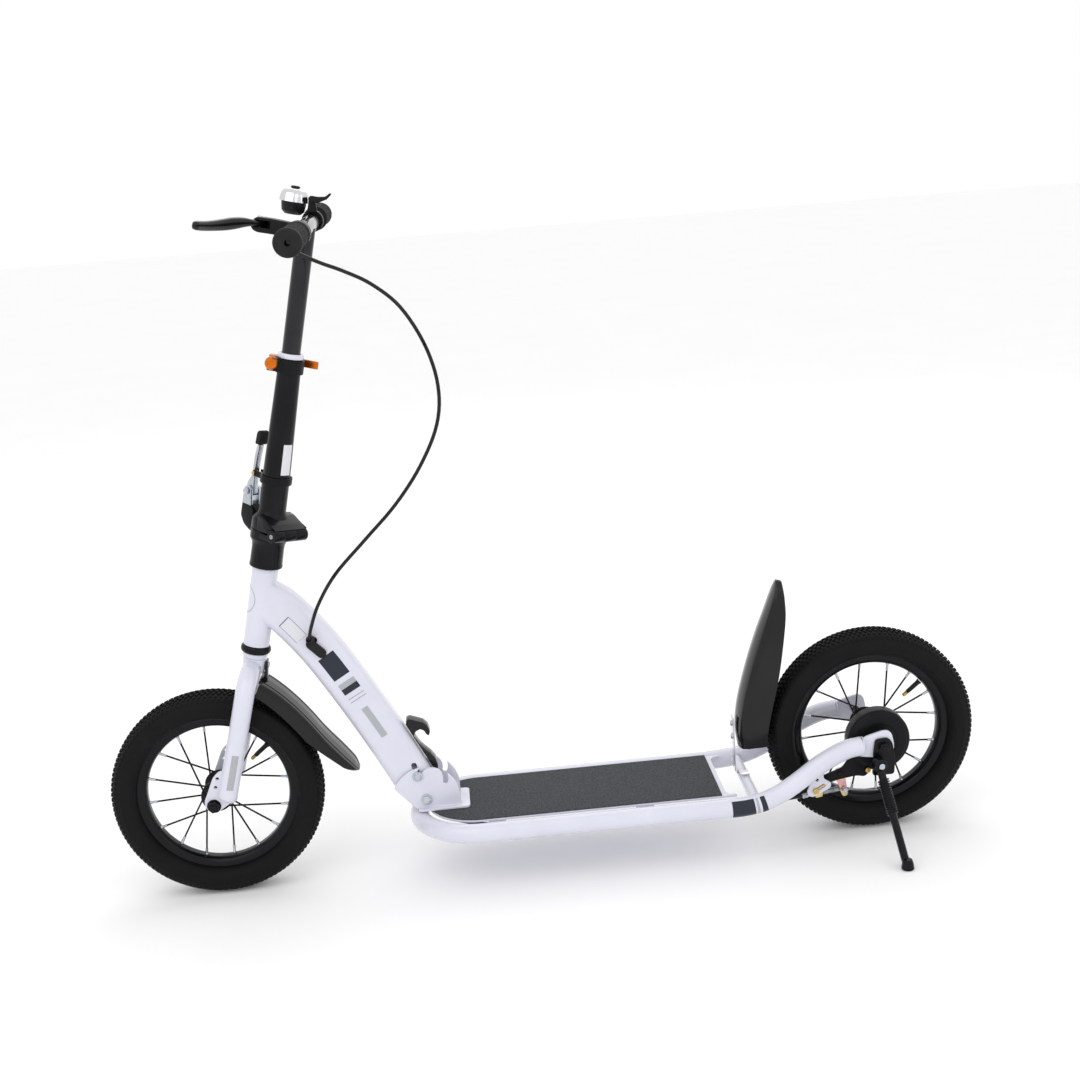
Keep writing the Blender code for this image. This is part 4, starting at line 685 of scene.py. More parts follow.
def sleeve(path, radius, start, end, thick=0.00025, steps=14):
    """A thin skin over part of a round tube, between two angles from the outward side."""
    path = [Vector(p) for p in path]
    rings = []
    for i, point in enumerate(path):
        along = (path[min(i + 1, len(path) - 1)] - path[max(i - 1, 0)]).normalized()
        up = (Vector((0, 0, 1)) - along * along.z).normalized()
        out = along.cross(up)
        if out.y * point.y < 0:
            out = -out
        ring = []
        for r, turns in ((radius + thick, range(steps + 1)), (radius - 0.0004, range(steps, -1, -1))):
            for k in turns:
                a = radians(start + (end - start) * k / steps)
                ring.append(point + out * (r * cos(a)) + up * (r * sin(a)))
        rings.append(ring)
    return stack_rings(rings)


def weld_bead(centre, normal, radius, wire=0.0011):
    at = facing(normal, centre)
    path = [at @ Vector((radius * cos(a), radius * sin(a), 0.0))
            for a in (2 * pi * i / 48 for i in range(48))]
    rings = []
    for i, point in enumerate(path):
        along = (path[(i + 1) % 48] - path[i - 1]).normalized()
        out = (point - Vector(centre)).normalized()
        third = along.cross(out)
        swell = wire * (1.0 + 0.18 * sin(i * 2.4))
        rings.append([point + out * u + third * v for u, v in circle(swell, 8)])
    return stack_rings(rings, closed=True)


def deck():
    root = "deck_assembly"
    rails = tube(rail_route(), RAIL_RADIUS, sides=32, cap=False)
    across = shift(0.286, 0.0, 0.0875) @ spun(-90, "X")
    shapes = [rails, rod(0.008, -RAIL_HALF, RAIL_HALF, 32, at=across)]
    for side in (-1, 1):
        shapes.append(weld_bead((0.286, side * 0.0748, 0.0875), (0, 1, 0), 0.0086))
    for x in (-0.080, 0.130):
        turn = shift(x, 0.0, 0.0875) @ spun(90, "X")
        shapes.append(prism(round_rect(0.024, 0.0125, 0.002), -RAIL_HALF, RAIL_HALF, turn))
    outline = [(-0.0380, -0.0120), (-0.0290, 0.0150), (0.0035, 0.0235), (0.0125, 0.0195),
               (0.0165, -0.0020), (0.0125, -0.0150), (-0.004, -0.0175)]
    rear = WHEEL_AT["rear"]
    for low in (0.0722, -0.0768):
        plate = slab(soften(outline, 0.007), low, low + 0.0046, 0.0007, rear)
        shapes.append(shaped(plate, (CUT, rod(0.0052, low - 0.01, low + 0.02, 32, at=rear))))
        middle = 0.5 * (low + low + 0.0046)
        shapes.append(weld_bead((0.4395, -middle, 0.1515), (1, 0, -0.12), 0.0132))
    tab = [(0.0082, 0.0030), (0.0070, 0.0220), (-0.0050, 0.0220), (-0.0085, 0.0030)]
    tab += arc((-0.0085, -0.0155), 0.0078, 165, 285, 6)
    tab += arc((0.0105, -0.0065), 0.0078, -60, 20, 4)
    tab_at = Matrix.Translation((0.3775, -0.0690, 0.1035)) @ SIDE
    tab_body = slab(soften(tab, 0.0022), -0.0018, 0.0018, 0.0007, tab_at)
    slot_at = tab_at @ shift(0.0015, -0.0105) @ spun(28)
    shapes.append(shaped(
        tab_body,
        (CUT, rod(0.0026, -0.01, 0.01, 24, at=tab_at @ shift(-0.002, 0.002))),
        (CUT, prism(round_rect(0.019, 0.0056, 0.0027), -0.01, 0.01, slot_at))))
    piece("deck_loop", gather(*shapes), root, "white_paint", instead=["deck_frame"])
    inner = RAIL_HALF - RAIL_RADIUS - 0.0003
    notch = 0.014
    plate = arc((LOOP_CENTRE, 0.0), inner, 90, 270, 64)
    plate += [(PLATE_REAR + notch, -inner), (PLATE_REAR + notch, -inner + 0.004)]
    plate += arc((PLATE_REAR + notch, -inner + 0.004 + notch), notch, 270, 180, 16)
    plate += arc((PLATE_REAR + notch, inner - 0.004 - notch), notch, 180, 90, 16)
    plate += [(PLATE_REAR + notch, inner)]
    hole = shift(-0.158)
    tray = shaped(slab(plate, 0.0942, 0.0974, 0.0008), (CUT, rod(0.0045, 0.09, 0.12, 32, at=hole)))
    piece("deck_tray", tray, root, "white_paint", instead=["deck_plate"])
    mat = arc((LOOP_CENTRE, 0.0), MAT_HALF - 0.0012, 90, 270, 64)
    mat += [(MAT_REAR, -MAT_HALF + 0.0012), (MAT_REAR, MAT_HALF - 0.0012)]
    sheet = shaped(slab(mat, 0.0977, MAT_TOP, 0.0006), (CUT, rod(0.0045, 0.09, 0.12, 32, at=hole)))
    piece("deck_grip_sheet", sheet, root, "grip_mat", instead=["deck_mat"])
    bands = (("deck_rail_block", 0.2484, 0.2810, "stripe"), ("deck_rail_line", 0.2898, 0.2972, "stripe"),
             ("deck_rail_tint", 0.2830, 0.2868, "pale_stripe"))
    route = rail_route(48)
    for name, start, end, tone in bands:
        halves = []
        for side in (-1, 1):
            run = [p for p in route if start <= p.x <= end and p.y * side > 0]
            halves.append(sleeve(run, RAIL_RADIUS, -58, 62))
        piece(name, gather(*halves), root, tone, slot="white_paint")


def fold_bracket():
    middle = LOCK_ANGLE - FOLD / 2
    base_low = BRACKET_BASE - PIVOT.z
    cheek = arc((0.0, 0.0), BRACKET_RADIUS, -7, 156, 56)
    cheek += [(-0.0140, base_low + 0.001), (0.050, base_low + 0.001)]
    base = slab(round_rect(0.0740, 0.066, 0.006), base_low, base_low + 0.0032, 0.0007,
                FOLD_AT @ shift(0.0240))
    reach = LOCK_RADIUS * cos(FOLD / 2)
    swing = LOCK_RADIUS * sin(FOLD / 2)
    centre = (reach * cos(middle), reach * sin(middle))
    folded = (centre[0] + swing * sin(middle), centre[1] - swing * cos(middle))
    locked = (centre[0] - swing * sin(middle), centre[1] + swing * cos(middle))
    turn = middle * 180 / pi
    slit = LOCK_PIN + 0.0006
    groove = arc(centre, swing + slit, turn + 90, turn - 90, 40)
    groove += arc(folded, slit, turn - 90, turn - 270, 12)[1:]
    groove += arc(centre, swing - slit, turn - 90, turn + 90, 40)[1:]
    groove += arc(locked, slit, turn - 90, turn - 270, 12)[1:-1]
    upright = FOLD_AT @ SIDE
    walls = [base]
    for low in (0.0212, -0.0252):
        wall = slab(soften(cheek, 0.004, 3), low, low + 0.0040, 0.0008, upright)
        walls.append(shaped(
            wall, (CUT, prism(groove, low - 0.004, low + 0.008, upright)),
            (CUT, rod(0.0043, low - 0.01, low + 0.01, 32, at=upright))))
        edge = low + (0.0040 if low > 0 else 0.0)
        walls.append(tube([(PIVOT.x - 0.012, -edge, BRACKET_BASE + 0.0034),
                           (PIVOT.x + 0.048, -edge, BRACKET_BASE + 0.0034)], 0.0013, sides=10))
    body = gather(*walls)
    piece("fold_cheeks", shaped(body, (CUT, rod(0.0045, 0.09, 0.106, 32, at=shift(-0.158)))),
          "deck_assembly", "white_paint", instead=["fold_bracket"])
    ends = []
    for side in (-1, 1):
        low, high = sorted((side * 0.0256, side * 0.0268))
        ends.append(washer(0.0082, 0.0040, low, high, upright))
    ends.append(hex_nut(0.0066, 0.0268, 0.0306, upright))
    ends.append(rod(0.0040, -0.0260, 0.0318, 32, 0.0005, upright))
    head = [(0.0, -0.0330), (0.0040, -0.0330), (0.0062, -0.0312), (0.0064, -0.0268), (0.0, -0.0268)]
    ends.append(turned(rounded(head, 0.0008), 40, upright))
    piece("fold_pivot_set", gather(*ends), "deck_assembly", "zinc", instead=["fold_pivot_bolt"])
    rest = PIVOT + LOCK_RADIUS * Vector((cos(LOCK_ANGLE), 0.0, sin(LOCK_ANGLE)))
    pin = [(0.0, -0.0295), (0.0042, -0.0295), (0.0050, -0.0285), (0.0050, -0.0275), (0.0072, -0.0275),
           (0.0072, -0.0256), (LOCK_PIN, -0.0256), (LOCK_PIN, 0.0256), (0.0072, 0.0256),
           (0.0072, 0.0275), (0.0050, 0.0275), (0.0050, 0.0285), (0.0042, 0.0295), (0.0, 0.0295)]
    piece("fold_lock_bar", turned(rounded(pin, 0.0005), 40, Matrix.Translation(rest) @ SIDE), "lock",
          "zinc", instead=["fold_lock_pin"])


# ---------------------------------------------------------------- front frame
def down_tube_route(steps=1):
    points = [(-0.388, 0.434), (-0.370, 0.4240), (-0.350, 0.4080), (-0.326, 0.3790), (-0.303, 0.3470),
              (-0.284, 0.3160), (-0.264, 0.2810), (-0.240, 0.2370), (-0.216, 0.1905), (-0.190, 0.1370),
              (-0.172, 0.0995)]
    return smooth_path([(x, 0.0, z) for x, z in points], steps)


def tube_patch(start, end, low, high, face, thick=0.0002):
    """A thin patch on the down tube's flat side, between two heights and two offsets."""
    fine = down_tube_route(200)
    inside = [p for p in fine if end <= p.z <= start]
    skip = max(1, len(inside) // 24)
    route = inside[::skip] if len(inside) > 3 else inside
    rings = []
    for i, point in enumerate(route):
        along = (route[min(i + 1, len(route) - 1)] - route[max(i - 1, 0)]).normalized()
        across = Vector((-along.z, 0.0, along.x))
        if across.x < 0:
            across = -across
        y = face * (TUBE_WIDE / 2)
        a, b = point + across * low, point + across * high
        rings.append([Vector((a.x, y + face * thick, a.z)), Vector((b.x, y + face * thick, b.z)),
                      Vector((b.x, y - face * 0.0004, b.z)), Vector((a.x, y - face * 0.0004, a.z))])
    return stack_rings(rings)


def front_frame():
    body = "front_assembly"
    head = [(0.0, HEAD_BOTTOM), (HEAD_RADIUS, HEAD_BOTTOM), (HEAD_RADIUS, HEAD_TOP), (0.0, HEAD_TOP)]
    count = len(down_tube_route(4)[2:])
    widths = [min(TUBE_WIDE, 0.0325 + 0.0015 * i) for i in range(count)]
    sections = [round_rect(wide, TUBE_DEEP, 0.0135, 8) for wide in widths]
    hollow = round_rect(TUBE_WIDE - 2 * TUBE_WALL, TUBE_DEEP - 2 * TUBE_WALL, 0.0110, 8)
    low, far = 0.0118, 0.090
    end = [(-0.0470, 0.0220), (-0.0150, -low), (0.0, -low)]
    tilt = FOLD - pi / 2
    end += arc((0.0, 0.0), low, -90, tilt * 180 / pi, 16)[1:]
    end += [(low * cos(tilt) - far * sin(tilt), low * sin(tilt) + far * cos(tilt))]
    end += [(far, far), (far, -far), (-far, -far), (-far, 0.0220)]
    reach = LOCK_RADIUS * cos(FOLD / 2) + LOCK_RADIUS * sin(FOLD / 2)
    slot_low, slot_high = LOCK_RADIUS - LOCK_PIN - 0.001, reach + LOCK_PIN + 0.002
    slot = prism(round_rect(slot_high - slot_low, 2 * LOCK_PIN + 0.0021, 0.0040), -0.04, 0.04,
                 FOLD_AT @ SIDE @ Matrix.Rotation(LOCK_ANGLE, 4, "Z")
                 @ shift((slot_low + slot_high) / 2))
    whole = shaped(
        turned(rounded(head, 0.0006), 72, STEER),
        (ADD, swept(down_tube_route(4)[2:], sections, (0, 1, 0))),
        (CUT, rod(0.0155, HEAD_BOTTOM - 0.01, HEAD_TOP + 0.01, 64, at=STEER)),
        (CUT, swept(down_tube_route(4)[8:], hollow, (0, 1, 0))),
        (CUT, prism(end, -0.04, 0.04, FOLD_AT @ SIDE)),
        (CUT, rod(0.0044, -0.04, 0.04, 32, at=FOLD_AT @ SIDE)),
        (CUT, slot),
        (CUT, rod(0.0042, -0.004, 0.018, 24, at=facing(CABLE_ENTRY_AIM, CABLE_ENTRY))))
    piece("head_and_down_tube", whole, body, "white_paint", instead=["front_frame"])
    bands = (("down_tube_block", ((0.3405, 0.3075, -0.0105, 0.0155),), "stripe"),
             ("down_tube_tint", ((0.3010, 0.2940, -0.0105, 0.0155),
                                 (0.2600, 0.2140, -0.0035, 0.0065)), "pale_stripe"),
             ("down_tube_line", ((0.2938, 0.2855, -0.0105, 0.0155), (0.2790, 0.2784, -0.0105, 0.0155),
                                 (0.2740, 0.2734, -0.0105, 0.0155)), "stripe"))
    for name, spans, tone in bands:
        patches = [tube_patch(*span, face) for span in spans for face in (-1, 1)]
        piece(name, gather(*patches), body, tone, slot="white_paint")
    piece("down_tube_label_edge", tube_patch(0.4010, 0.3720, -0.0155, 0.0030, -1), body, "stripe",
          slot="white_paint")
    piece("down_tube_label", tube_patch(0.4002, 0.3728, -0.0150, 0.0025, -1, 0.0003), body, "label",
          slot="white_paint")
    rings = []
    for i in range(64):
        t = 2 * pi * i / 64
        ring = []
        for reach, lift in ((0.0192, 0.0002), (0.0204, 0.0002), (0.0204, -0.0003), (0.0192, -0.0003)):
            a = pi + reach * cos(t) / HEAD_RADIUS
            r = HEAD_RADIUS + lift
            ring.append(STEER @ Vector((r * cos(a), r * sin(a), 0.2900 + reach * sin(t))))
        rings.append(ring)
    piece("head_ring_mark", stack_rings(rings, closed=True), body, "pale_stripe", slot="white_paint")
    outline = round_rect(0.033, 0.0135, 0.0066, 10)
    flat = Matrix.Translation((-0.3080, -0.0203, 0.3540)) @ SIDE @ spun(-47)
    mouth = facing(CABLE_ENTRY_AIM, CABLE_ENTRY)
    collar = [(0.0030, -0.0015), (0.0052, -0.0010), (0.0062, 0.0060), (0.0030, 0.0060)]
    boot = shaped(slab(outline, -0.0006, 0.0056, 0.0022, flat, 6),
                  (ADD, turned(rounded(collar, 0.0008), 32, mouth)),
                  (CUT, rod(0.0029, -0.02, 0.03, 24, at=mouth)))
    piece("cable_grommet", boot, body, "rubber", instead=["cable_boot"])


def headset():
    low = HEAD_BOTTOM - 0.0003
    cup = [(0.0132, low - 0.0040), (0.0178, low - 0.0040), (0.0178, low - 0.0098),
           (0.0190, low - 0.0101), (0.0206, low - 0.0085), (0.0211, low - 0.0055),
           (0.0206, low - 0.0025), (0.0190, low - 0.0003), (0.0132, low)]
    piece("lower_head_cup", turned(rounded(cup, 0.0006), 72, STEER), "front_assembly", "black_paint",
          instead=["lower_headset_cup"])
    race = [(0.0128, low - 0.0180), (0.0166, low - 0.0180), (0.0174, low - 0.0150),
            (0.0176, low - 0.0110), (0.0128, low - 0.0106)]
    piece("crown_ring", turned(rounded(race, 0.0006), 64, STEER), "steering", "white_paint",
          instead=["crown_race"])
    high = HEAD_TOP + 0.0003
    cup = [(0.0132, high), (0.0188, high), (0.0198, high + 0.0012), (0.0198, high + 0.0085),
           (0.0178, high + 0.0085), (0.0178, high + 0.0035), (0.0132, high + 0.0035)]
    piece("upper_head_cup", turned(rounded(cup, 0.0007), 72, STEER), "front_assembly", "black_paint",
          instead=["upper_headset_cup"])


def release_handle():
    hook = [(-0.1965, 0.2245), (-0.1955, 0.2305), (-0.1905, 0.2325), (-0.1720, 0.2255),
            (-0.1660, 0.2195), (-0.1632, 0.2110), (-0.1655, 0.2050), (-0.1690, 0.2075),
            (-0.1715, 0.2130), (-0.1770, 0.2160), (-0.1835, 0.2130), (-0.1868, 0.2060),
            (-0.1790, 0.1925), (-0.1725, 0.1850), (-0.1650, 0.1775), (-0.1590, 0.1690),
            (-0.1565, 0.1600), (-0.1575, 0.1530), (-0.1615, 0.1520)]
    shape = slab(soften(hook, 0.0016, 3), -0.0095, 0.0095, 0.0008, SIDE, 3)
    piece("release_hook", shape, "release", "gloss_plastic", slot="black_plastic",
          instead=["release_handle"])


# ----------------------------------------------------------------------- fork
def fork():
    race = HEAD_BOTTOM - 0.0186
    stalk = [(0.0, 0.1835), (0.0120, 0.1835), (0.0150, 0.1850), (0.0158, 0.1900), (0.0160, race - 0.002),
             (0.0150, race), (0.0125, race), (0.0125, 0.3700), (0.0, 0.3700)]
    shapes = [turned(rounded(stalk, 0.0006), 48, STEER)]
    leg = [(-0.0015, 0.000, 0.1918), (-0.0025, 0.018, 0.1900), (-0.0035, 0.0335, 0.1850),
           (-0.0045, 0.0455, 0.1740), (-0.0050, 0.0515, 0.1590), (-0.0055, FORK_SPREAD, 0.1430),
           (-0.0080, FORK_SPREAD, 0.0840), (-0.0105, FORK_SPREAD, 0.0260),
           (-0.0108, FORK_SPREAD, 0.0150)]
    plate = [(-0.0020, 0.0450), (-0.0150, 0.0530), (-0.0270, 0.0520), (-0.0350, 0.0400),
             (-0.0395, 0.0150), (-0.0425, 0.0030), (-0.0365, -0.0090), (-0.0235, -0.0115),
             (-0.0050, 0.0080)]
    for side in (-1, 1):
        path = smooth_path([(x, side * y, z) for x, y, z in leg], 8)
        base = path[-1]
        end = [base + Vector((-0.0004 * k, 0.0, -0.0045 * sin(radians(a))))
               for k, a in enumerate((25, 50, 70, 84))]
        sizes = [FORK_TUBE] * len(path) + [FORK_TUBE * cos(radians(a)) ** 0.55 for a in (25, 50, 70, 84)]
        shapes.append(swept(path + end, [circle(r, 40) for r in sizes], (1, 0, 0), STEER))
        centre = -side * FORK_SPREAD
        steps = [(CUT, rod(0.0052, centre - 0.01, centre + 0.01, 32,
                           at=STEER @ shift(-RAKE) @ SIDE))]
        for x, z in ((-0.0282, 0.0405), (-0.0290, 0.0275)):
            spot = STEER @ shift(x, 0.0, z) @ SIDE
            steps.append((CUT, rod(0.0026, centre - 0.01, centre + 0.01, 24, at=spot)))
        flat = slab(soften(plate, 0.006, 5), centre - 0.0025, centre + 0.0025, 0.0008, STEER @ SIDE)
        shapes.append(shaped(flat, *steps))
    piece("fork_body", gather(*shapes), "steering", "white_paint", instead=["fork"], crease=40)
    bars = []
    for side in (-1, 1):
        rings = []
        for i in range(9):
            z = 0.0300 + 0.0520 * i / 8
            x = -0.0105 + (z - 0.026) * 0.0431
            turns = [radians(side * (62 + 40 * k / 10)) for k in range(11)]
            ring = [(FORK_TUBE + 0.0002, a) for a in turns]
            ring += [(FORK_TUBE - 0.0003, a) for a in reversed(turns)]
            rings.append([STEER @ Vector((x + r * cos(a), side * FORK_SPREAD + r * sin(a), z))
                          for r, a in ring])
        bars.append(stack_rings(rings))
    piece("fork_pale_bars", gather(*bars), "steering", "pale_stripe", slot="white_paint")


def front_fender():
    """Channel-shaped guard behind the fork, flared away from the tyre at its tail."""
    skin = 0.0020
    rings = []
    steps = 60
    centre = Vector((-WHEELBASE / 2, 0.0, TYRE_RADIUS))
    for i in range(steps + 1):
        t = i / steps
        turn = radians(64 - 60 * t)
        flare = 0.0200 * (max(0.0, t - 0.58) / 0.42) ** 2
        crown = 0.1815 - 0.010 * sin(pi * min(t * 1.05, 1.0)) + flare
        half = 0.0305 * (1 - 0.25 * max(0.0, t - 0.8) ** 2 / 0.04)
        tail = max(0.0, t - 0.94) / 0.06
        half *= sqrt(max(1 - 0.75 * tail * tail, 0.05))
        drop = 0.020 * (1 - 0.55 * max(0.0, t - 0.6) / 0.4) * (1 - 0.8 * tail)
        outer, inner = [], []
        count = 72
        for k in range(count + 1):
            u = -1 + 2 * k / count
            a = abs(u)
            y = half * (sin(a * pi / 2) ** 0.9) * (1 if u > 0 else -1)
            fall = 0.0015 * (1 - a) + (-0.0005 * a)
            edge = max(0.0, a - 0.62) / 0.38
            r = crown + fall - drop * edge ** 2.2
            ridge = 0.0009 * max(0.0, 1 - abs(a - 0.42) / 0.035)
            ridge += 0.0008 * max(0.0, 1 - abs(a - 0.72) / 0.035)
            outer.append((r + ridge, y))
            inner.append((r - skin * (1 - 0.4 * edge), y * (1 - skin / half)))
        ray = Vector((cos(turn), 0.0, sin(turn)))
        ring = outer + inner[::-1]
        rings.append([centre + ray * r + Vector((0.0, y, 0.0)) for r, y in ring])
    tab = [(0.0160, 0.1600), (0.0160, 0.2030), (0.0190, 0.2030), (0.0210, 0.1850), (0.0235, 0.1600)]
    strap = slab(soften(tab, 0.0012, 3), -0.009, 0.009, 0.0008, STEER @ SIDE)
    piece("front_mudguard", gather(stack_rings(rings), strap), "steering", "gloss_plastic",
          slot="black_plastic", instead=["front_fender"], crease=50)
    screw_at = STEER @ shift(0.0186, 0.0, 0.1965) @ spun(90, "Y")
    head = [(0.0, 0.0), (0.0052, 0.0), (0.0050, 0.0016), (0.0036, 0.0029), (0.0, 0.0034)]
    screw = shaped(turned(rounded(head, 0.0004), 32, screw_at),
                   (CUT, prism(round_rect(0.0009, 0.0055, 0.0002, 2), 0.0018, 0.0060, screw_at)),
                   (CUT, prism(round_rect(0.0055, 0.0009, 0.0002, 2), 0.0018, 0.0060, screw_at)))
    piece("mudguard_screw", screw, "steering", "zinc")


# ----------------------------------------------------------------- stem hinge
def socket():
    skirt = HEAD_TOP + 0.0012
    split = HINGE_LEVEL - 0.0004
    profile = [(0.0202, skirt), (0.0224, skirt), (0.0230, skirt + 0.0025), (0.0223, skirt + 0.0060),
               (0.0221, 0.3660), (0.0228, 0.3720), (0.0246, 0.3760), (0.0262, 0.3785),
               (0.0262, split), (0.0100, split), (0.0100, 0.3706), (0.0128, 0.3706),
               (0.0128, HEAD_TOP + 0.0106), (0.0202, HEAD_TOP + 0.0106)]
    along = HINGE_AT @ spun(90, "Y")
    shapes = [turned(rounded(profile, 0.0008), 80, STEER)]
    for low, high in ((-0.0290, -0.0105), (0.0105, 0.0290)):
        knuckle = [(0.0036, low), (0.0088, low), (0.0088, high), (0.0036, high)]
        shapes.append(turned(rounded(knuckle, 0.0008), 40, along))
        web = [(low + 0.0006, 0.0040), (low + 0.0006, 0.0260), (high - 0.0006, 0.0260),
               (high - 0.0006, 0.0040)]
        shapes.append(slab(web, -0.0083, -0.0010, 0.0010, HINGE_AT))
    lug = [(0.0085, -0.0170), (0.0090, -0.0360), (0.0010, -0.0470), (-0.0120, -0.0530),
           (-0.0300, -0.0560), (-0.0300, -0.0440), (-0.0180, -0.0430), (-0.0178, -0.0280),
           (-0.0110, -0.0170)]
    turn = LATCH_AT @ spun(90) @ spun(90, "X")
    across = LATCH_AT @ spun(90, "Y")
    shapes.append(slab(soften(lug, 0.0035, 4), -0.0096, 0.0096, 0.0026, turn, 4))
    ears = []
    plate = arc((0.0, 0.0), 0.0074, 180, 0, 24) + [(0.0080, -0.0200), (-0.0105, -0.0200)]
    for low in (0.0052, -0.0092):
        ear = slab(plate, low, low + 0.0040, 0.0007, turn)
        ears.append(shaped(ear, (CUT, rod(0.0033, -0.02, 0.02, 24, at=across))))
    piece("latch_plates", gather(*ears), "steering", "zinc")
    piece("hinge_socket", gather(*shapes), "steering", "black_paint", instead=["stem_socket"])
    pin = [rod(0.0033, -0.0300, 0.0300, 24, 0.0006, along)]
    piece("hinge_pin", gather(*pin), "steering", "steel", instead=["stem_hinge_pin"])
    bolt = [hex_nut(0.0056, -0.0127, -0.0097, across), rod(0.0030, -0.0130, 0.0110, 24, 0.0004, across),
            washer(0.0072, 0.0030, 0.0094, 0.0104, across),
            turned(rounded([(0.0, 0.0104), (0.0058, 0.0104), (0.0054, 0.0124), (0.0, 0.0137)], 0.0006),
                   32, across)]
    piece("latch_pivot_bolt", gather(*bolt), "steering", "zinc", instead=["latch_bolt"])


def stem():
    split = HINGE_LEVEL + 0.0004
    profile = [(0.0, split), (0.0262, split), (0.0262, 0.4050), (0.0246, 0.4085), (0.0226, 0.4110),
               (STEM_RADIUS_LOW + 0.0012, 0.4140), (STEM_RADIUS_LOW, 0.4190),
               (STEM_RADIUS_LOW, 0.4700), (STEM_RADIUS_TOP, STEM_TOP), (0.0, STEM_TOP)]
    along = HINGE_AT @ spun(90, "Y")
    steps = [(CUT, rod(0.0130, 0.4180, STEM_TOP + 0.01, 48, at=STEER))]
    for low, high in ((-0.0300, -0.0102), (0.0102, 0.0300)):
        steps.append((CUT, rod(0.0094, low, high, 40, at=along)))
    body = shaped(turned(rounded(profile, 0.0009), 80, STEER), *steps)
    knuckle = turned(rounded([(0.0036, -0.0100), (0.0088, -0.0100), (0.0088, 0.0100),
                              (0.0036, 0.0100)], 0.0007), 40, along)
    web = slab([(-0.0094, 0.0), (-0.0094, 0.0250), (0.0094, 0.0250), (0.0094, 0.0)], 0.0012, 0.0083,
               0.0010, HINGE_AT)
    web = shaped(web, (CUT, rod(0.0040, -0.02, 0.02, 24, at=along)))
    # the casting slopes from the stem's foot down over the hinge barrel
    shoulder = arc((0.0, 0.0), 0.0097, 118, 6, 14) + [(0.0330, 0.0008), (0.0330, 0.0230),
                                                      (0.0230, 0.0215), (0.0060, 0.0142)]
    hood = slab(soften(shoulder, 0.0012, 2), -0.0282, 0.0282, 0.0014,
                HINGE_AT @ spun(90) @ spun(90, "X"), 3)
    piece("stem_column", gather(body, knuckle, web, hood), "stem", "black_paint", instead=["stem_tube"])
    sticker = []
    for thick in (0.00025, -0.0004):
        row = []
        for k in range(13):
            a = radians(-70 + 46 * k / 12)
            row.append(a)
        sticker.append((thick, row))
    rings = []
    for i in range(9):
        z = 0.4710 + 0.0420 * i / 8
        radius = STEM_RADIUS_LOW + (STEM_RADIUS_TOP - STEM_RADIUS_LOW) * (z - 0.4700) / (STEM_TOP - 0.47)
        ring = [(radius + 0.00025, a) for a in sticker[0][1]]
        ring += [(radius - 0.0004, a) for a in reversed(sticker[1][1])]
        rings.append([STEER @ Vector((r * cos(a), r * sin(a), z)) for r, a in ring])
    piece("stem_blank_label", stack_rings(rings), "stem", "label", slot="white_paint")
    low, high = 0.4560, 0.4665
    outer = STEM_RADIUS_LOW + 0.0032
    inner = STEM_RADIUS_LOW + 0.0003
    band = [(inner, low), (outer, low), (outer, high), (inner, high)]
    shapes = [turned(rounded(band, 0.0010), 80, STEER)]
    twist = STEER @ TWIST
    across = twist @ shift(0.0, 0.0365, (low + high) / 2) @ spun(90, "Y")
    for side in (-1, 1):
        prong = [(side * 0.0052, 0.0160), (side * 0.0052, 0.0400), (side * 0.0085, 0.0400),
                 (side * 0.0100, 0.0160)]
        block = slab(soften(prong, 0.0012, 3), low + 0.0012, high - 0.0012, 0.0008, twist)
        shapes.append(shaped(block, (CUT, rod(0.0019, -0.02, 0.02, 20, at=across))))
    piece("latch_collar", gather(*shapes), "stem", "satin_black", instead=["stem_collar"])
    screw = [(0.0, -0.0112), (0.0026, -0.0112), (0.0030, -0.0106), (0.0030, -0.0094), (0.0016, -0.0094),
             (0.0016, 0.0094), (0.0026, 0.0094), (0.0026, 0.0112), (0.0, 0.0112)]
    piece("latch_screw", turned(rounded(screw, 0.0004), 24, across), "stem", "brass",
          instead=["collar_screw"])


def latch():
    side = LATCH_AT @ spun(90) @ spun(90, "X")
    lever = arc((0.0, 0.0), 0.0072, 190, 350, 16)
    lever += [(0.0078, 0.0100), (-0.0005, 0.0230), (-0.0005, 0.0330), (-0.0015, 0.0500),
              (-0.0040, 0.0660), (-0.0090, 0.0665), (-0.0065, 0.0500), (-0.0050, 0.0320),
              (-0.0056, 0.0100)]
    body = shaped(slab(soften(lever, 0.0035, 5), -0.0045, 0.0045, 0.0010, side),
                  (CUT, rod(0.0033, -0.01, 0.01, 24, at=LATCH_AT @ spun(90, "Y"))))
    piece("latch_blade", body, "stem_latch", "zinc", instead=["latch_lever"])
    tip = [(-0.0022, 0.0665), (-0.0040, 0.0840), (-0.0080, 0.0870), (-0.0130, 0.0850),
           (-0.0112, 0.0670)]
    piece("latch_rubber", slab(soften(tip, 0.0030, 5), -0.0080, 0.0080, 0.0024, side, 5),
          "stem_latch", "rubber", instead=["latch_tip"])


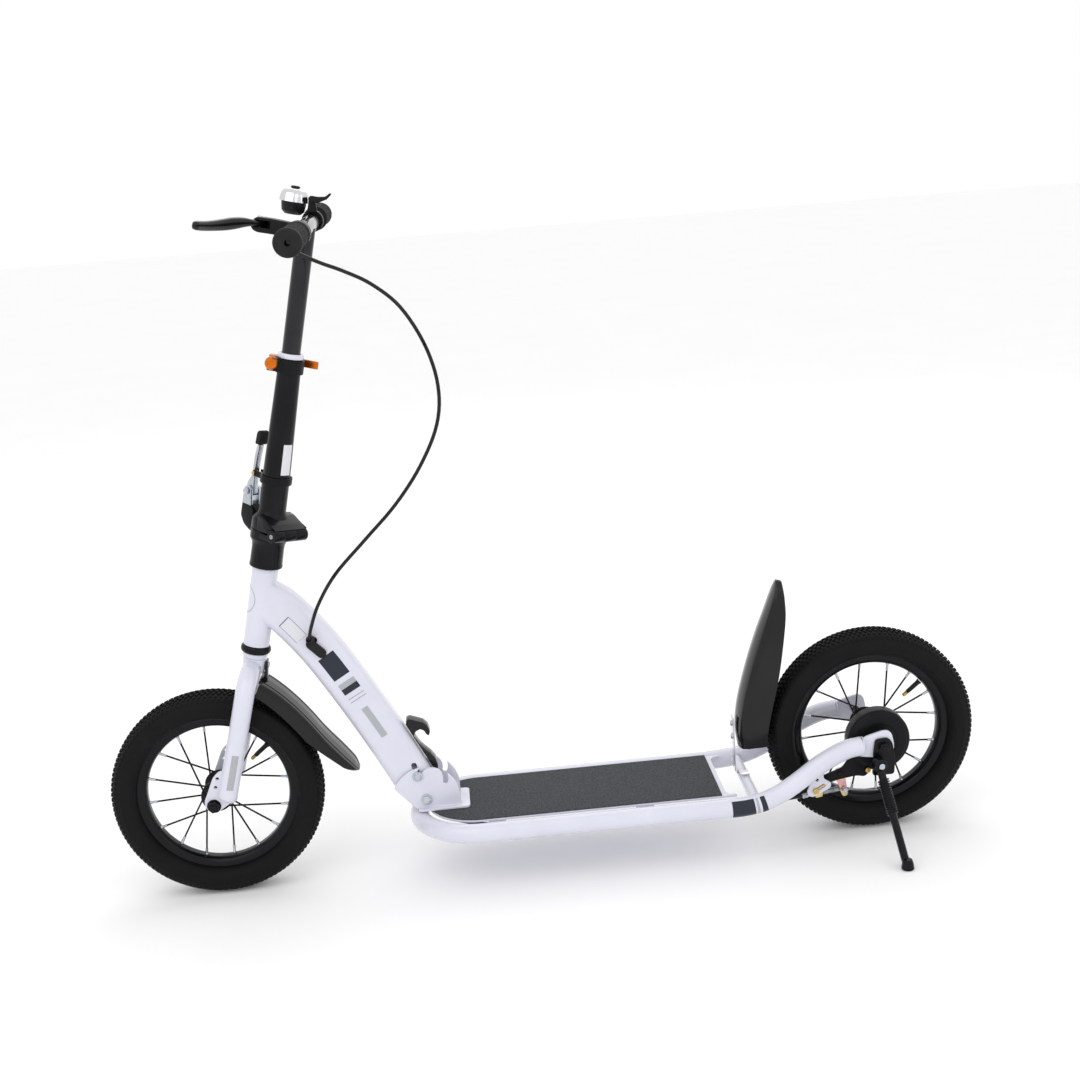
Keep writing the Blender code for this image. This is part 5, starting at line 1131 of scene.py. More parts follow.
def height_clamp():
    low, high = 0.6080, 0.6270
    inner = STEM_RADIUS_TOP + 0.0008
    band = [(inner, low), (0.0192, low), (0.0192, high), (inner, high)]
    ears = round_rect(0.0240, 0.0340, 0.0040, 6)
    slit = prism([(-0.0350, -0.0015), (-0.0350, 0.0015), (-0.0100, 0.0015), (-0.0100, -0.0015)],
                 low - 0.01, high + 0.01, STEER)
    body = shaped(
        turned(rounded(band, 0.0012), 80, STEER),
        (ADD, slab(ears, low + 0.002, high - 0.002, 0.0012, STEER @ shift(-0.0170))),
        (CUT, slit), (CUT, rod(inner, low - 0.01, high + 0.01, 80, at=STEER)),
        (CUT, rod(0.0028, -0.04, 0.04, 24, at=CLAMP_AT)))
    piece("clamp_band", body, "stem", "satin_black", instead=["height_clamp"])
    bolt = [(0.0, -0.0270), (0.0024, -0.0270), (0.0024, 0.0173), (0.0088, 0.0173), (0.0088, 0.0210),
            (0.0080, 0.0228), (0.0066, 0.0250), (0.0, 0.0250)]
    piece("clamp_nut_and_bolt", turned(rounded(bolt, 0.0006), 60, CLAMP_AT), "stem",
          "orange_anodised", instead=["clamp_bolt"])
    ring = [(0.0130, 0.6280), (0.0172, 0.6280), (0.0178, 0.6310), (0.0172, 0.6340), (0.0160, 0.6350),
            (0.0130, 0.6350)]
    piece("stem_cap_ring", turned(rounded(ring, 0.0008), 64, STEER), "stem", "white_paint",
          instead=["stem_top_ring"])
    outline = arc((0.0, 0.0), 0.0080, 110, 250, 16)
    outline += [(0.0020, -0.0080), (0.0150, -0.0035), (0.0300, -0.0028), (0.0450, -0.0090),
                (0.0590, -0.0125), (0.0600, -0.0085), (0.0470, -0.0035), (0.0320, 0.0030),
                (0.0150, 0.0045), (0.0030, 0.0080)]
    fan = arc((0.0, 0.0), 0.0125, 138, 286, 16) + [(0.0034, -0.0030), (0.0034, 0.0034), (0.0, 0.0040)]
    lever = shaped(slab(soften(outline, 0.0040, 5), -0.0052, 0.0052, 0.0014, CAM_AT, 4),
                   (CUT, prism(fan, -0.0031, 0.0031, CAM_AT)))
    piece("height_lever_blade", lever, "height_lever", "orange_anodised", instead=["clamp_lever"])


# ----------------------------------------------------------------- handlebar
def handlebar(detail):
    post = rod(POST_RADIUS, POST_LOW - BAR_LEVEL, -0.002, 64, 0.0010, BARS_AT)
    cross = rod(BAR_RADIUS, -BAR_HALF, BAR_HALF, 64, 0.0010, BARS_AT @ SIDE)
    bead = []
    for i in range(48):
        a = 2 * pi * i / 48
        x, y = POST_RADIUS * cos(a), POST_RADIUS * sin(a)
        drop = sqrt(max(BAR_RADIUS ** 2 - min(abs(x), BAR_RADIUS * 0.98) ** 2, 0.0))
        bead.append(BARS_AT @ Vector((x, y, -drop)))
    rings = []
    for i, point in enumerate(bead):
        along = (bead[(i + 1) % 48] - bead[i - 1]).normalized()
        out = along.cross(Vector((0, 0, 1))).normalized()
        third = along.cross(out)
        rings.append([point + out * u + third * v for u, v in circle(0.0011, 8)])
    piece("handlebar_tee", gather(post, cross, stack_rings(rings, closed=True)), "bars",
          "dark_chrome", instead=["handlebar"])
    wall, end = BAR_RADIUS + 0.0003, GRIP_HALF
    outer = [(wall, GRIP_INNER), (0.0158, GRIP_INNER), (0.0170, GRIP_INNER + 0.0010),
             (0.0170, GRIP_INNER + 0.0035), (0.0158, GRIP_INNER + 0.0045)]
    start, stop = GRIP_INNER + 0.0060, end - 0.0160
    pitch = (stop - start) / detail.grip_ribs
    for i in range(detail.grip_ribs):
        z = start + i * pitch
        outer += [(0.0150, z), (0.0150, z + pitch * 0.28), (0.0161, z + pitch * 0.42),
                  (0.0161, z + pitch * 0.86)]
    outer += [(0.0152, stop), (0.0152, end - 0.0140), (0.0164, end - 0.0125), (0.0170, end - 0.0100),
              (0.0170, end - 0.0050), (0.0166, end - 0.0022), (0.0154, end - 0.0006), (0.0140, end),
              (0.0040, end), (0.0035, end - 0.0006), (0.0035, BAR_HALF + 0.0003),
              (wall, BAR_HALF + 0.0003)]
    for name, node, turn in (("left", "left_grip", SIDE), ("right", "right_grip", spun(-90, "X"))):
        sleeve_shape = turned(outer, 72, BARS_AT @ turn)
        piece(f"{name}_ribbed_grip", sleeve_shape, "bars", "rubber", instead=[node], crease=32)


def brake_lever():
    """Perch clamped on the bar, the lever on its pin, and the cable's barrel adjuster."""
    turn = BARS_AT @ SIDE
    clamp = turned(rounded([(0.0, 0.1360), (0.0158, 0.1360), (0.0158, 0.1640), (0.0, 0.1640)],
                           0.0014), 64, turn)
    lift = BARS_AT @ shift(0.0, -0.150, 0.0)
    arm = [(-0.0060, 0.0125), (-0.0300, 0.0138), (-0.0500, 0.0138), (-0.0565, 0.0085),
           (-0.0565, 0.0000), (-0.0500, -0.0046), (-0.0300, -0.0046), (-0.0100, -0.0050)]
    plate = slab(soften(arm, 0.0045, 5), -0.0120, 0.0120, 0.0022, lift @ SIDE, 4)
    slot = BARS_AT @ shift(0.0, -0.1525, 0.0060)
    wide = prism([(-0.0720, -0.0130), (-0.0720, 0.0112), (-0.0330, 0.0112), (-0.0330, -0.0130)],
                 -0.0046, 0.0046, slot)
    pin_at = BARS_AT @ shift(-0.046, -0.150, 0.006)
    barrel_at = BARS_AT @ facing((0.10, 0.85, -0.50), (-0.0100, -0.1400, -0.0100))
    band_split = prism([(0.0080, -0.0008), (0.0080, 0.0008), (0.0180, 0.0008), (0.0180, -0.0008)],
                       0.1300, 0.1700, turn)
    bore = rod(BAR_RADIUS + 0.0003, 0.10, 0.20, 64, at=turn)
    body = shaped(clamp, (ADD, plate), (CUT, wide), (CUT, rod(0.0027, -0.03, 0.03, 24, at=pin_at)),
                  (CUT, bore), (CUT, band_split))
    barrel = [(0.0, 0.0), (0.0048, 0.0), (0.0048, 0.0090), (0.0036, 0.0100), (0.0036, 0.0180),
              (0.0, 0.0180)]
    adjuster = turned(rounded(barrel, 0.0005), 48, barrel_at, flutes=16, depth=0.07)
    piece("lever_perch", gather(body, adjuster), "bars", "black_plastic", instead=["brake_perch"])
    pin = [(0.0, -0.0070), (0.0024, -0.0070), (0.0024, 0.0072), (0.0044, 0.0072), (0.0044, 0.0082),
           (0.0034, 0.0090), (0.0, 0.0092)]
    piece("lever_pin", turned(rounded(pin, 0.0003), 32, pin_at), "bars", "zinc",
          instead=["brake_lever_pin"])
    points = [(0.0060, 0.0030, 0.0), (-0.0010, -0.0030, 0.0), (-0.0100, -0.0120, 0.0),
              (-0.0190, -0.0225, -0.0004), (-0.0290, -0.0370, -0.0026), (-0.0385, -0.0510, -0.0048),
              (-0.0470, -0.0650, -0.0062), (-0.0550, -0.0800, -0.0070), (-0.0610, -0.0930, -0.0070),
              (-0.0640, -0.1010, -0.0068), (-0.0652, -0.1048, -0.0066)]
    sizes = [(0.0040, 0.0036), (0.0064, 0.0041), (0.0074, 0.0042), (0.0072, 0.0058), (0.0060, 0.0070),
             (0.0052, 0.0068), (0.0049, 0.0062), (0.0048, 0.0058), (0.0048, 0.0056), (0.0042, 0.0048),
             (0.0020, 0.0024)]
    steps = 6
    path = smooth_path(points, steps)
    spread = smooth_path([(a, b, 0.0) for a, b in sizes], steps)
    sections = []
    for size in spread:
        section = []
        for k in range(28):
            a = 2 * pi * k / 28
            c, s = cos(a), sin(a)
            section.append((size.x * abs(c) ** 0.7 * (1 if c > 0 else -1),
                            size.y * abs(s) ** 0.7 * (1 if s > 0 else -1)))
        sections.append(section)
    blade = shaped(swept(path, sections, (0.85, -0.5, 0.0), BRAKE_AT),
                   (CUT, rod(0.0027, -0.01, 0.01, 24, at=BRAKE_AT)))
    piece("brake_blade", blade, "brake_trigger", "gloss_plastic", slot="black_plastic",
          instead=["brake_lever"], crease=45)


def bell(detail):
    turn = BARS_AT @ SIDE
    cup_at = BARS_AT @ shift(-0.0285, 0.130, 0.0225)
    band = turned(rounded([(BAR_RADIUS + 0.0003, -0.1380), (0.0150, -0.1380), (0.0150, -0.1220),
                           (BAR_RADIUS + 0.0003, -0.1220)], 0.0012), 64, turn)
    ear = arc((-0.0040, 0.0300), 0.0042, 0, 180, 12) + [(-0.0082, 0.0120), (0.0060, 0.0120)]
    dish = [(0.0, -0.0175), (0.0110, -0.0175), (0.0158, -0.0130), (0.0172, -0.0030), (0.0172, 0.0040),
            (0.0150, 0.0040), (0.0, 0.0030)]
    post = [(0.0, 0.0020), (0.0040, 0.0020), (0.0040, 0.0184), (0.0066, 0.0184), (0.0066, 0.0198),
            (0.0050, 0.0212), (0.0, 0.0214)]
    base = shaped(turned(rounded(dish, 0.0008), 64, cup_at),
                  (CUT, rod(BAR_RADIUS + 0.0004, -0.16, -0.10, 64, at=turn)))
    shapes = [base, band, slab(ear, -0.1240, -0.1185, 0.0008, turn),
              turned(rounded(post, 0.0005), 40, cup_at)]
    piece("bell_mount", gather(*shapes), "bars", "black_plastic", instead=["bell_base"])
    dome = [(0.0046, 0.0182), (0.0086, 0.0179), (0.0130, 0.0167), (0.0164, 0.0143), (0.0188, 0.0108),
            (0.0202, 0.0060), (0.0208, 0.0), (0.0198, 0.0), (0.0193, 0.0056), (0.0179, 0.0098),
            (0.0156, 0.0128), (0.0122, 0.0150), (0.0084, 0.0161), (0.0046, 0.0164)]
    piece("bell_chime", turned(dome, 120, cup_at, flutes=detail.bell_flutes, depth=0.055), "bars",
          "chrome", instead=["bell_dome"], crease=60)
    thumb = arc((0.0, 0.0), 0.0045, 90, 270, 12)
    thumb += [(0.0090, -0.0042), (0.0210, 0.0030), (0.0260, 0.0105), (0.0235, 0.0120),
              (0.0180, 0.0060), (0.0080, 0.0042)]
    shapes = [slab(soften(thumb, 0.0022, 4), -0.0035, 0.0035, 0.0009, BELL_AT @ SIDE)]
    for i in range(5):
        x = 0.0200 + 0.0012 * i
        z = 0.0028 + 0.0020 * i
        ridge = BELL_AT @ shift(x, 0.0, z) @ spun(90, "X")
        shapes.append(rod(0.0007, -0.0034, 0.0034, 10, 0.0002, ridge))
    piece("bell_thumb_lever", gather(*shapes), "bell_trigger", "black_plastic", instead=["bell_lever"])


# ------------------------------------------------------ rear guard and brake
def rear_fender():
    """Tall blade in front of the rear wheel, crowned across its width, on its plated strip."""
    route = [(0.2860, 0.1420), (0.2850, 0.1700), (0.2890, 0.2080), (0.3020, 0.2580), (0.3160, 0.3020),
             (0.3290, 0.3380), (0.3370, 0.3620), (0.3440, 0.3840)]
    wide = [0.024, 0.0285, 0.0300, 0.0295, 0.0275, 0.0235, 0.0185, 0.0100]
    deep = [0.018, 0.0210, 0.0185, 0.0165, 0.0140, 0.0110, 0.0080, 0.0045]
    flange = [0.040, 0.0430, 0.0450, 0.0430, 0.0360, 0.0270, 0.0180, 0.0080]
    skin, steps = 0.0022, 8
    path = smooth_path([(x, 0.0, z) for x, z in route], steps)
    sizes = smooth_path(list(zip(wide, deep, flange)), steps)
    rings = []
    for i, point in enumerate(path):
        half, dip, reach = sizes[i]
        near = max(0.0, i - (len(path) - 7)) / 6
        half *= sqrt(max(1 - 0.80 * near * near, 0.1))
        along = (path[min(i + 1, len(path) - 1)] - path[max(i - 1, 0)]).normalized()
        out = Vector((along.z, 0.0, -along.x))
        front, rear = [], []
        count = 48
        for k in range(count + 1):
            u = -1 + 2 * k / count
            a = abs(u)
            y = half * sin(min(a * 1.18, 1.0) * pi / 2) * (1 if u > 0 else -1)
            d = -dip / 2 + reach * (0.30 * a ** 1.6 + 0.70 * (max(0.0, a - 0.45) / 0.55) ** 1.5)
            d -= 0.0010 * max(0.0, 1 - abs(a - 0.52) / 0.05)
            y *= 1 - 0.035 * max(0.0, 1 - abs(a - 0.80) / 0.12)
            front.append((y, d))
            rear.append((y * (1 - skin / half), d + skin * (1 - 0.7 * a)))
        ring = front + rear[::-1]
        rings.append([point + Vector((0.0, y, 0.0)) + out * d for y, d in ring])
    piece("rear_mudguard", stack_rings(rings), "deck_assembly", "gloss_plastic", slot="black_plastic",
          instead=["rear_fender"], crease=50)
    line = [(0.2711, 0.1860), (0.2711, 0.1110), (0.2722, 0.1045), (0.2765, 0.0990), (0.2832, 0.0973),
            (0.2915, 0.0974)]
    path = smooth_path([(x, 0.0, z) for x, z in line], 5)
    flat = [(u, v) for u, v in round_rect(0.0170, 0.0017, 0.0007, 4)]
    piece("mudguard_strip", swept(path, flat, (0, 1, 0)), "deck_assembly", "chrome",
          instead=["fender_stay"])
    for name, z, paint in (("mudguard_bolt_upper", 0.1760, "zinc"),
                           ("mudguard_bolt_lower", 0.1560, "zinc")):
        at = facing((-1, 0, 0), (0.2703, 0.0, z))
        head = [(0.0, 0.0), (0.0046, 0.0), (0.0044, 0.0014), (0.0030, 0.0026), (0.0, 0.0030)]
        piece(name, turned(rounded(head, 0.0004), 32, at), "deck_assembly", paint)


def band_brake():
    """Cover, reaction arm, band lever, cable stop and their bolts."""
    rear = WHEEL_AT["rear"]
    root = "deck_assembly"
    cover = [(0.0065, 0.0545), (0.0065, 0.0615), (0.0155, 0.0615), (0.0175, 0.0596), (0.0250, 0.0592),
             (0.0262, 0.0598), (0.0380, 0.0598), (0.0392, 0.0590), (0.0420, 0.0582), (0.0444, 0.0556),
             (0.0450, 0.0520), (0.0450, 0.0360), (0.0432, 0.0360), (0.0425, 0.0545)]
    arm = [(-0.0300, -0.0220), (-0.0165, -0.0340), (-0.0155, -0.0455), (-0.0225, -0.0520),
           (-0.0340, -0.0490), (-0.0620, -0.0530), (-0.0830, -0.0590), (-0.0885, -0.0520),
           (-0.0850, -0.0450), (-0.0550, -0.0350), (-0.0400, -0.0150)]
    shapes = [turned(rounded(cover, 0.0006), 96, rear),
              slab(soften(arm, 0.0050, 5), 0.0552, 0.0583, 0.0007, rear)]
    piece("brake_shell", gather(*shapes), root, "satin_black", instead=["brake_cover"])
    pin = [(0.0, -0.0042), (0.0050, -0.0042), (0.0050, -0.0024), (0.0025, -0.0024), (0.0025, 0.0050),
           (0.0048, 0.0050), (0.0048, 0.0074), (0.0040, 0.0080), (0.0, 0.0082)]
    piece("band_lever_pin", turned(rounded(pin, 0.0004), 32, ARM_AT), root, "satin_black")
    bolt_at = Matrix.Translation((0.3775, -0.0690, 0.1035)) @ SIDE @ shift(-0.0045, -0.0140)
    bolt = [rod(0.0026, -0.0100, 0.0040, 24, 0.0004, bolt_at),
            hex_nut(0.0046, 0.0020, 0.0050, bolt_at)]
    piece("anchor_bolt", gather(*bolt), root, "brass")
    rivet_at = Matrix.Translation((0.4640, -0.0600, 0.1175)) @ SIDE
    rivet = [(0.0, -0.0010), (0.0040, -0.0010), (0.0040, 0.0006), (0.0026, 0.0016), (0.0, 0.0019)]
    piece("shell_rivet", turned(rounded(rivet, 0.0004), 32, rivet_at), root, "label",
          slot="white_paint")
    screw_at = Matrix.Translation((0.4520, -0.0588, 0.1085)) @ SIDE
    piece("shell_bolt", gather(hex_nut(0.0044, 0.0, 0.0030, screw_at),
                               rod(0.0024, 0.0, 0.0042, 24, 0.0004, screw_at)), root, "brass")
    lever = arc((0.0, 0.0), 0.0070, 12, 192, 16) + arc((0.0070, -0.0320), 0.0048, 192, 372, 16)
    body = shaped(slab(soften(lever, 0.0020, 3), -0.0015, 0.0015, 0.0005, ARM_AT),
                  (CUT, rod(0.0028, -0.01, 0.01, 24, at=ARM_AT)))
    piece("band_lever", body, "band_arm", "yellow_zinc", instead=["brake_arm"])
    grip_at = ARM_AT @ shift(0.0068, -0.0262)
    clamp = [rod(0.0036, 0.0010, 0.0045, 32, 0.0005, grip_at), hex_nut(0.0042, 0.0045, 0.0075, grip_at),
             rod(0.0022, 0.0040, 0.0088, 24, 0.0004, grip_at)]
    piece("cable_pinch_bolt", gather(*clamp), "band_arm", "zinc")
    end = facing((0.990, 0.0, 0.110), (0.3566, -0.0575, 0.0775))
    barrel = [(0.0010, 0.0), (0.0034, 0.0), (0.0038, 0.0008)]
    for i in range(5):
        z = 0.0010 + 0.0013 * i
        barrel += [(0.0038, z), (0.0038, z + 0.0007), (0.0033, z + 0.0009), (0.0033, z + 0.0011)]
    barrel += [(0.0030, 0.0085), (0.0030, 0.0150)]
    for i in range(12):
        z = 0.0152 + 0.0011 * i
        barrel += [(0.0030, z), (0.0030, z + 0.0004), (0.0026, z + 0.0007), (0.0026, z + 0.0010)]
    barrel += [(0.0028, 0.0290), (0.0010, 0.0290)]
    bracket = [(0.3700, 0.0990), (0.3665, 0.0900), (0.3745, 0.0840), (0.3752, 0.0735),
               (0.3855, 0.0750), (0.3865, 0.0830), (0.3935, 0.0915), (0.3930, 0.0960)]
    piece("cable_stop_barrel", turned(barrel, 40, end), root, "zinc",
          instead=["lower_barrel_adjuster"])
    stop = slab(soften(bracket, 0.0022, 4), 0.0588, 0.0608, 0.0006, SIDE)
    piece("cable_stop_plate", stop, root, "yellow_zinc")
    spring = coil(0.0034, 0.00055, 0.00165, 13.5, end @ shift(z=0.0300), 8, 16)
    piece("return_spring", spring, None, "zinc")


def kickstand(detail):
    outline = [(-0.0170, -0.0420), (-0.0150, -0.0060), (-0.0120, 0.0120), (0.0060, 0.0135),
               (0.0125, 0.0060), (0.0160, -0.0200), (0.0140, -0.0420)]
    rear = WHEEL_AT["rear"]
    low = 0.0771
    body = shaped(slab(soften(outline, 0.0045, 4), low, low + 0.0040, 0.0008, rear),
                  (CUT, rod(0.0052, low - 0.01, low + 0.02, 32, at=rear)),
                  (CUT, rod(0.0038, -0.03, 0.01, 24, at=STAND_AT)))
    piece("stand_bracket", body, "deck_assembly", "black_paint", instead=["kickstand_bracket"])
    pin = [(0.0, -0.0145), (0.0034, -0.0145), (0.0034, 0.0068), (0.0046, 0.0068), (0.0046, 0.0086),
           (0.0036, 0.0094), (0.0, 0.0096)]
    piece("stand_pin", turned(rounded(pin, 0.0004), 32, STAND_AT), "deck_assembly", "zinc",
          instead=["kickstand_pin"])
    along = STAND_SPREAD.normalized()
    eye = turned(rounded([(0.0037, -0.0048), (0.0100, -0.0048), (0.0100, 0.0064), (0.0037, 0.0064)],
                         0.0012), 40, STAND_AT)
    leg = tube([KICK_PIVOT + along * 0.0085, KICK_FOOT - along * 0.0105], 0.0055, (1, 0, 0), 28,
               cap=False)
    foot = [(0.0, 0.0), (0.0076, 0.0), (0.0088, 0.0012), (0.0090, 0.0022), (0.0078, 0.0100),
            (0.0060, 0.0150), (0.0, 0.0150)]
    piece("stand_leg", gather(eye, leg, turned(rounded(foot, 0.0010), 40,
                                               Matrix.Translation(KICK_FOOT))),
          "stand", "black_paint", instead=["kickstand_leg"])
    turns = detail.spring_turns
    pitch = 0.050 / turns
    wire = coil(0.0070, 0.0013, pitch, turns, facing(along, KICK_PIVOT) @ shift(z=0.0212), 10, 24)
    piece("stand_spring", wire, "stand", "black_paint", instead=["kickstand_spring"])


# --------------------------------------------------------------------- cables
def cables(detail):
    upper = [(-0.2715, -0.1236, 0.9077), (-0.2671, -0.1120, 0.9007), (-0.2548, -0.0990, 0.8921),
             (-0.2385, -0.0890, 0.8826), (-0.2130, -0.0790, 0.8700), (-0.1800, -0.0690, 0.8500),
             (-0.1460, -0.0630, 0.8170), (-0.1190, -0.0600, 0.7650), (-0.1070, -0.0600, 0.7110),
             (-0.1130, -0.0600, 0.6600), (-0.1400, -0.0600, 0.6060), (-0.1780, -0.0580, 0.5560),
             (-0.2230, -0.0550, 0.5110), (-0.2680, -0.0520, 0.4660), (-0.2950, -0.0490, 0.4260),
             (-0.3090, -0.0430, 0.3930), CABLE_ENTRY]
    steps = 6
    path = smooth_path(upper, steps)
    r = detail.cable_radius
    # the cable is three lengths end to end, one across each joint that it crosses
    spans = (("upper_cable_top", 0, 7, "bars", "stem"),
             ("upper_cable_middle", 7, 13, "stem", "steering"),
             ("upper_cable_low", 13, 16, "steering", "front_assembly"))
    for i, (name, first, last, above, below) in enumerate(spans):
        run = path[max(0, first * steps - 1):last * steps + 2]
        if i == len(spans) - 1:
            run = run + [run[-1] + Vector(CABLE_ENTRY_AIM).normalized() * 0.006]
        extra = {"instead": ["brake_cable_upper"]} if i == 0 else {}
        made = piece(name, tube(run, r, (0, 1, 0), 16, False), None, "gloss_plastic",
                     slot="black_plastic", **extra)
        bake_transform(made)
    lower = [(-0.1580, 0.0, 0.0800), (-0.1450, -0.0080, 0.0745), (-0.1100, -0.0300, 0.0735),
             (-0.0500, -0.0480, 0.0735), (0.0600, -0.0520, 0.0735), (0.1800, -0.0560, 0.0735),
             (0.2600, -0.0590, 0.0735), (0.3100, -0.0580, 0.0740), (0.3558, -0.0575, 0.0774)]
    piece("lower_cable", tube(smooth_path(lower, 8), r, sides=16), "deck_assembly", "gloss_plastic",
          slot="black_plastic", instead=["brake_cable_lower"])
    exit_at = Vector((0.3566, -0.0575, 0.0775))
    pinch = ARM_AT @ Vector((0.0068, -0.0262, 0.0030))
    wire = [exit_at, exit_at + Vector((0.030, 0.0, 0.0033)), pinch + Vector((-0.004, -0.0008, 0.0004)),
            pinch + Vector((0.012, -0.0006, 0.0)), pinch + Vector((0.046, -0.0040, -0.0030))]
    made = piece("brake_wire", tube(smooth_path(wire, 8), 0.0008, sides=10), None, "steel")
    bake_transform(made)
    spring = bpy.data.objects["return_spring"]
    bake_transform(spring)


def carried_over():
    """Finishes for the plain pieces that keep their first shape."""
    for name in ("brake_band", "brake_drum", "lower_bearing", "upper_bearing"):
        obj = bpy.data.objects[name]
        obj.data.materials.clear()
        obj.data.materials.append(bpy.data.materials["steel_finish"])
        obj.data.shade_smooth()
        obj.data.set_sharp_from_angle(angle=radians(40))


# ---------------------------------------------------------------------- stage
def stage(settings):
    scene = bpy.context.scene
    bm = bmesh.new()
    size = 14.0
    bm.faces.new([bm.verts.new((x * size, y * size, 0.0))
                  for x, y in ((-1, -1), (1, -1), (1, 1), (-1, 1))])
    mesh = bpy.data.meshes.new("floor")
    bm.to_mesh(mesh)
    bm.free()
    mesh.materials.append(bpy.data.materials["floor_finish"])
    floor = bpy.data.objects.new("floor", mesh)
    scene.collection.objects.link(floor)
    world = bpy.data.worlds.new("studio")
    world.use_nodes = True
    world.node_tree.nodes["Background"].inputs["Color"].default_value = (1.0, 1.0, 1.0, 1.0)
    world.node_tree.nodes["Background"].inputs["Strength"].default_value = 1.0
    scene.world = world
    scene.view_settings.view_transform = "Standard"
    lamps = (("key_light", (-1.3, -1.9, 2.6), (0.0, 0.0, 0.35), 2.6, 1.0),
             ("fill_light", (1.9, -1.3, 1.6), (0.1, 0.0, 0.40), 2.0, 0.35),
             ("back_light", (0.3, 2.3, 2.4), (0.0, 0.0, 0.40), 2.4, 0.60))
    for name, spot, aim, size, share in lamps:
        data = bpy.data.lights.new(name, "AREA")
        data.shape = "SQUARE"
        data.size = size
        data.energy = settings.key_power * share
        lamp = bpy.data.objects.new(name, data)
        lamp.matrix_world = facing(Vector(spot) - Vector(aim), spot)
        scene.collection.objects.link(lamp)
    camera_data = bpy.data.cameras.new("camera")
    camera_data.lens = settings.lens
    camera_data.sensor_width = 36.0
    camera = bpy.data.objects.new("camera", camera_data)
    heading, dip, roll = settings.camera_turn
    back = Vector((-sin(heading) * cos(dip), -cos(heading) * cos(dip), sin(dip)))
    right = Vector((cos(heading), -sin(heading), 0.0))
    up = back.cross(right)
    x_axis = right * cos(roll) + up * sin(roll)
    y_axis = -right * sin(roll) + up * cos(roll)
    turn = Matrix((x_axis, y_axis, back)).transposed().to_4x4()
    camera.matrix_world = Matrix.Translation(settings.camera_at) @ turn
    scene.collection.objects.link(camera)
    scene.camera = camera


# ------------------------------------------------------------------ operators
class SCOOTER_OT_stage(bpy.types.Operator):
    """Make the finishes, the floor, the soft lights and the camera"""
    bl_idname = "scooter.stage"
    bl_label = "Stage and finishes"

    def execute(self, context):
        make_finishes(context.scene.scooter_paint)
        stage(context.scene.scooter_stage)
        return {"FINISHED"}


class SCOOTER_OT_wheels(bpy.types.Operator):
    """Build both wheels with their tyres, rims, spokes and valves, and both axles"""
    bl_idname = "scooter.wheels"
    bl_label = "Wheels"

    def execute(self, context):
        for end in WHEEL_AT:
            wheel(end, context.scene.scooter_wheels)
        axle("front_axle", WHEEL_AT["front"], 0.0650, FORK_SPREAD + 0.0028, "steering")
        axle("rear_axle", WHEEL_AT["rear"], 0.0900, 0.0814, "deck_assembly")
        return {"FINISHED"}


class SCOOTER_OT_deck(bpy.types.Operator):
    """Build the deck loop, its tray and its gritty sheet"""
    bl_idname = "scooter.deck"
    bl_label = "Deck"

    def execute(self, context):
        deck()
        return {"FINISHED"}


class SCOOTER_OT_folding(bpy.types.Operator):
    """Build the folding bracket with its bolt, lock bar and release hook"""
    bl_idname = "scooter.folding"
    bl_label = "Folding joint"

    def execute(self, context):
        fold_bracket()
        release_handle()
        return {"FINISHED"}


class SCOOTER_OT_front_frame(bpy.types.Operator):
    """Build the head tube, down tube, stripes, grommet and headset cups"""
    bl_idname = "scooter.front_frame"
    bl_label = "Front frame"

    def execute(self, context):
        front_frame()
        headset()
        return {"FINISHED"}


class SCOOTER_OT_fork(bpy.types.Operator):
    """Build the fork and the front mudguard"""
    bl_idname = "scooter.fork"
    bl_label = "Fork and front mudguard"

    def execute(self, context):
        fork()
        front_fender()
        return {"FINISHED"}


class SCOOTER_OT_stem(bpy.types.Operator):
    """Build the hinge socket, stem, latch and height clamp"""
    bl_idname = "scooter.stem"
    bl_label = "Stem, latch and clamp"

    def execute(self, context):
        socket()
        stem()
        latch()
        height_clamp()
        return {"FINISHED"}


class SCOOTER_OT_bars(bpy.types.Operator):
    """Build the handlebar, grips, brake lever and bell"""
    bl_idname = "scooter.bars"
    bl_label = "Handlebar"

    def execute(self, context):
        detail = context.scene.scooter_detail
        handlebar(detail)
        brake_lever()
        bell(detail)
        return {"FINISHED"}


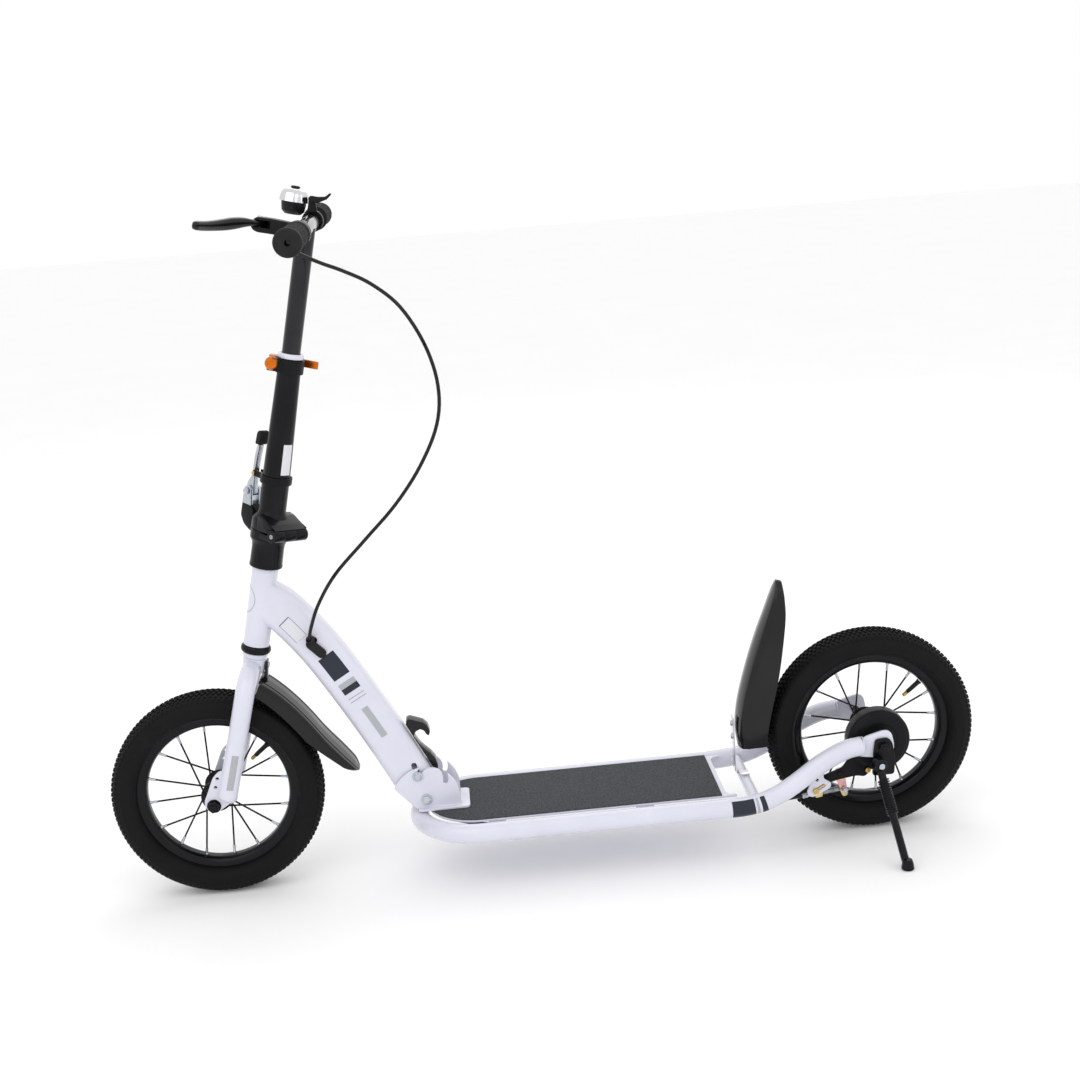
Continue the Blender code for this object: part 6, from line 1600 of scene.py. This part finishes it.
class SCOOTER_OT_rear(bpy.types.Operator):
    """Build the rear mudguard, the band brake and the stand"""
    bl_idname = "scooter.rear"
    bl_label = "Rear mudguard, brake and stand"

    def execute(self, context):
        rear_fender()
        band_brake()
        kickstand(context.scene.scooter_detail)
        return {"FINISHED"}


class SCOOTER_OT_cables(bpy.types.Operator):
    """Build the brake cable's lengths and finish the hidden pieces"""
    bl_idname = "scooter.cables"
    bl_label = "Cables and hidden pieces"

    def execute(self, context):
        cables(context.scene.scooter_detail)
        carried_over()
        return {"FINISHED"}


STEPS = (SCOOTER_OT_stage, SCOOTER_OT_wheels, SCOOTER_OT_deck, SCOOTER_OT_folding,
         SCOOTER_OT_front_frame, SCOOTER_OT_fork, SCOOTER_OT_stem, SCOOTER_OT_bars, SCOOTER_OT_rear,
         SCOOTER_OT_cables)
GROUPS = (("scooter_paint", ScooterPaint), ("scooter_wheels", ScooterWheels),
          ("scooter_detail", ScooterDetail), ("scooter_stage", ScooterStage))


class SCOOTER_PT_panel(bpy.types.Panel):
    """Lists the build steps and their settings"""
    bl_idname = "SCOOTER_PT_panel"
    bl_label = "Folding kick scooter"
    bl_space_type = "VIEW_3D"
    bl_region_type = "UI"
    bl_category = "Scooter"

    def draw(self, context):
        for step in STEPS:
            self.layout.operator(step.bl_idname)
        for name, group in GROUPS:
            box = self.layout.box()
            for field in group.__annotations__:
                box.prop(getattr(context.scene, name), field)


CLASSES = (*(group for _, group in GROUPS), *STEPS, SCOOTER_PT_panel)


def register():
    for cls in CLASSES:
        bpy.utils.register_class(cls)
    for name, group in GROUPS:
        setattr(bpy.types.Scene, name, bpy.props.PointerProperty(type=group))


def unregister():
    for name, _ in GROUPS:
        delattr(bpy.types.Scene, name)
    for cls in reversed(CLASSES):
        bpy.utils.unregister_class(cls)


def main():
    register()
    bpy.ops.scooter.stage()
    bpy.ops.scooter.wheels()
    bpy.ops.scooter.deck()
    bpy.ops.scooter.folding()
    bpy.ops.scooter.front_frame()
    bpy.ops.scooter.fork()
    bpy.ops.scooter.stem()
    bpy.ops.scooter.bars()
    bpy.ops.scooter.rear()
    bpy.ops.scooter.cables()


if __name__ == "__main__":
    main()
